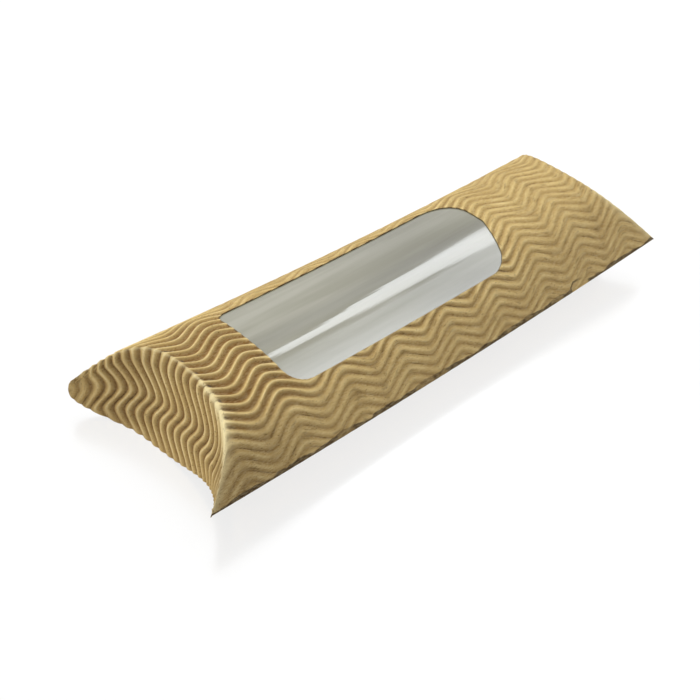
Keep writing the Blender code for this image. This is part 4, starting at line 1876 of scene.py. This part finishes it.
@dataclass
class Studio:
    """Camera, floor, surroundings, two glowing panels and three lamps.

    Angles are in degrees, and the picture's middle and width in pixels.
    """

    azimuth: float = -45.963
    elevation: float = 37.874
    roll: float = 4.07
    distance: float = 0.41385
    aim_height: float = 0.0126
    lens: float = 61.96
    middle_column: float = 394.28
    middle_row: float = 305.69
    frame_pixels: float = 700.0
    pale: float = 0.93
    seen_shade: float = 0.07
    seen_glow: float = 0.80
    floor_drop: float = 0.00005
    surround: float = 0.45
    floor_size: float = 3.0
    floor_roughness: float = 0.24
    floor_index: float = 2.1
    sensor: float = 36.0
    lamp_height: float = 0.6
    glows: tuple[Glow, ...] = (
        Glow("strip", (
            (0.290, 0.335, 5.1), (0.292, 0.300, 5.1), (0.400, 0.200, 5.1),
            (0.455, 0.075, 6.1), (0.520, 0.360, 6.1), (0.420, 0.370, 5.6),
        )),
        Glow("front_glow", (
            (0.220, 0.250, 1.2), (0.200, -0.200, 5.2), (0.600, -0.500, 4.6), (0.520, 0.060, 4.3),
        )),
    )
    lamps: tuple[Lamp, ...] = (
        Lamp("softbox", (0.430, -0.200, 0.6), -30.2, 0.50, 0.36, 0.5, (1.0, 0.80, 0.60)),
        Lamp("fill", (-0.360, 0.260, 0.340), -43.9, 0.22, 0.22, 1.05, (1.0, 0.91, 0.78), -49.5, True),
        Lamp("top", (0.160, 0.300, 0.6), -30.2, 0.40, 0.40, 2.5, (0.93, 1.0, 0.95)),
    )

    def build(self) -> None:
        """Set the whole stage."""
        self._camera()
        self._floor()
        self._world()
        for glow in self.glows:
            glow.hang(self.lamp_height)
        for lamp in self.lamps:
            lamp.hang()
        bpy.context.scene.view_settings.view_transform = "Standard"

    def _camera(self) -> None:
        """Put the camera at the photograph's place, with its framing as a small shift."""
        azimuth, elevation, roll = (math.radians(v) for v in (self.azimuth, self.elevation, self.roll))
        level = math.cos(elevation)
        back = Vector((math.sin(azimuth) * level, -math.cos(azimuth) * level, math.sin(elevation)))
        right = (-back).cross(Vector((0, 0, 1))).normalized()
        up = right.cross(-back)
        tilted_right = math.cos(roll) * right + math.sin(roll) * up
        tilted_up = -math.sin(roll) * right + math.cos(roll) * up
        data = bpy.data.cameras.new("camera")
        data.lens = self.lens
        data.sensor_width = self.sensor
        data.shift_x = 0.5 - self.middle_column / self.frame_pixels
        data.shift_y = self.middle_row / self.frame_pixels - 0.5
        data.clip_start = 0.01
        camera = placed("camera", data)
        turn = Matrix((tilted_right, tilted_up, back)).transposed().to_4x4()
        camera.matrix_world = Matrix.Translation(Vector((0, 0, self.aim_height)) + back * self.distance) @ turn
        bpy.context.scene.camera = camera

    def _floor(self) -> None:
        """Lay a pale satin floor, lifted to white for the camera outside the shadows."""
        values = {"Roughness": self.floor_roughness, "IOR": self.floor_index, "Emission_Color": (1, 1, 1, 1)}
        material, tree, shader = new_material("pale_floor", **values)
        seen = self._seen(tree)
        shade = seen * (self.seen_shade - self.pale) + self.pale
        tree.feed(shader.inputs["Base Color"], tree.call("ShaderNodeCombineColor", shade, shade, shade))
        tree.feed(shader.inputs["Emission Strength"], seen * self.seen_glow)
        mesh = bpy.data.meshes.new("floor")
        work = bmesh.new()
        bmesh.ops.create_grid(work, x_segments=4, y_segments=4, size=self.floor_size)
        work.to_mesh(mesh)
        work.free()
        mesh.materials.append(material)
        floor = placed("floor", mesh)
        floor.location.z = -self.floor_drop

    def _world(self) -> None:
        """Make the surroundings white for the camera and reflections, softer as a light."""
        world = bpy.data.worlds.new("studio")
        world.use_nodes = True
        bpy.context.scene.world = world
        tree = Tree(world.node_tree)
        ground = world.node_tree.nodes["Background"]
        ground.inputs["Color"].default_value = (1, 1, 1, 1)
        tree.feed(ground.inputs["Strength"], self._seen(tree) * (1 - self.surround) + self.surround)

    @staticmethod
    def _seen(tree: Tree) -> Value:
        """Tell what is seen from what gives light.

        Args:
            tree: Tree to build in.

        Returns:
            1 for what the camera sees, also in gloss and through film, and 0 as a light.
        """
        kinds = ("Camera", "Glossy", "Transmission")
        camera, gloss, film = (tree.call("ShaderNodeLightPath", output=f"Is {kind} Ray") for kind in kinds)
        return camera.or_more(gloss).or_more(film)


def main() -> None:
    logging.basicConfig(level=logging.INFO)
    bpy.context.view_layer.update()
    top, bottom = make_surfaces()
    maker = Maker(top, bottom)
    Sleeve(maker).build()
    for end in End:
        EndFlaps(maker, end).build()
    Studio().build()


if __name__ == "__main__":
    main()
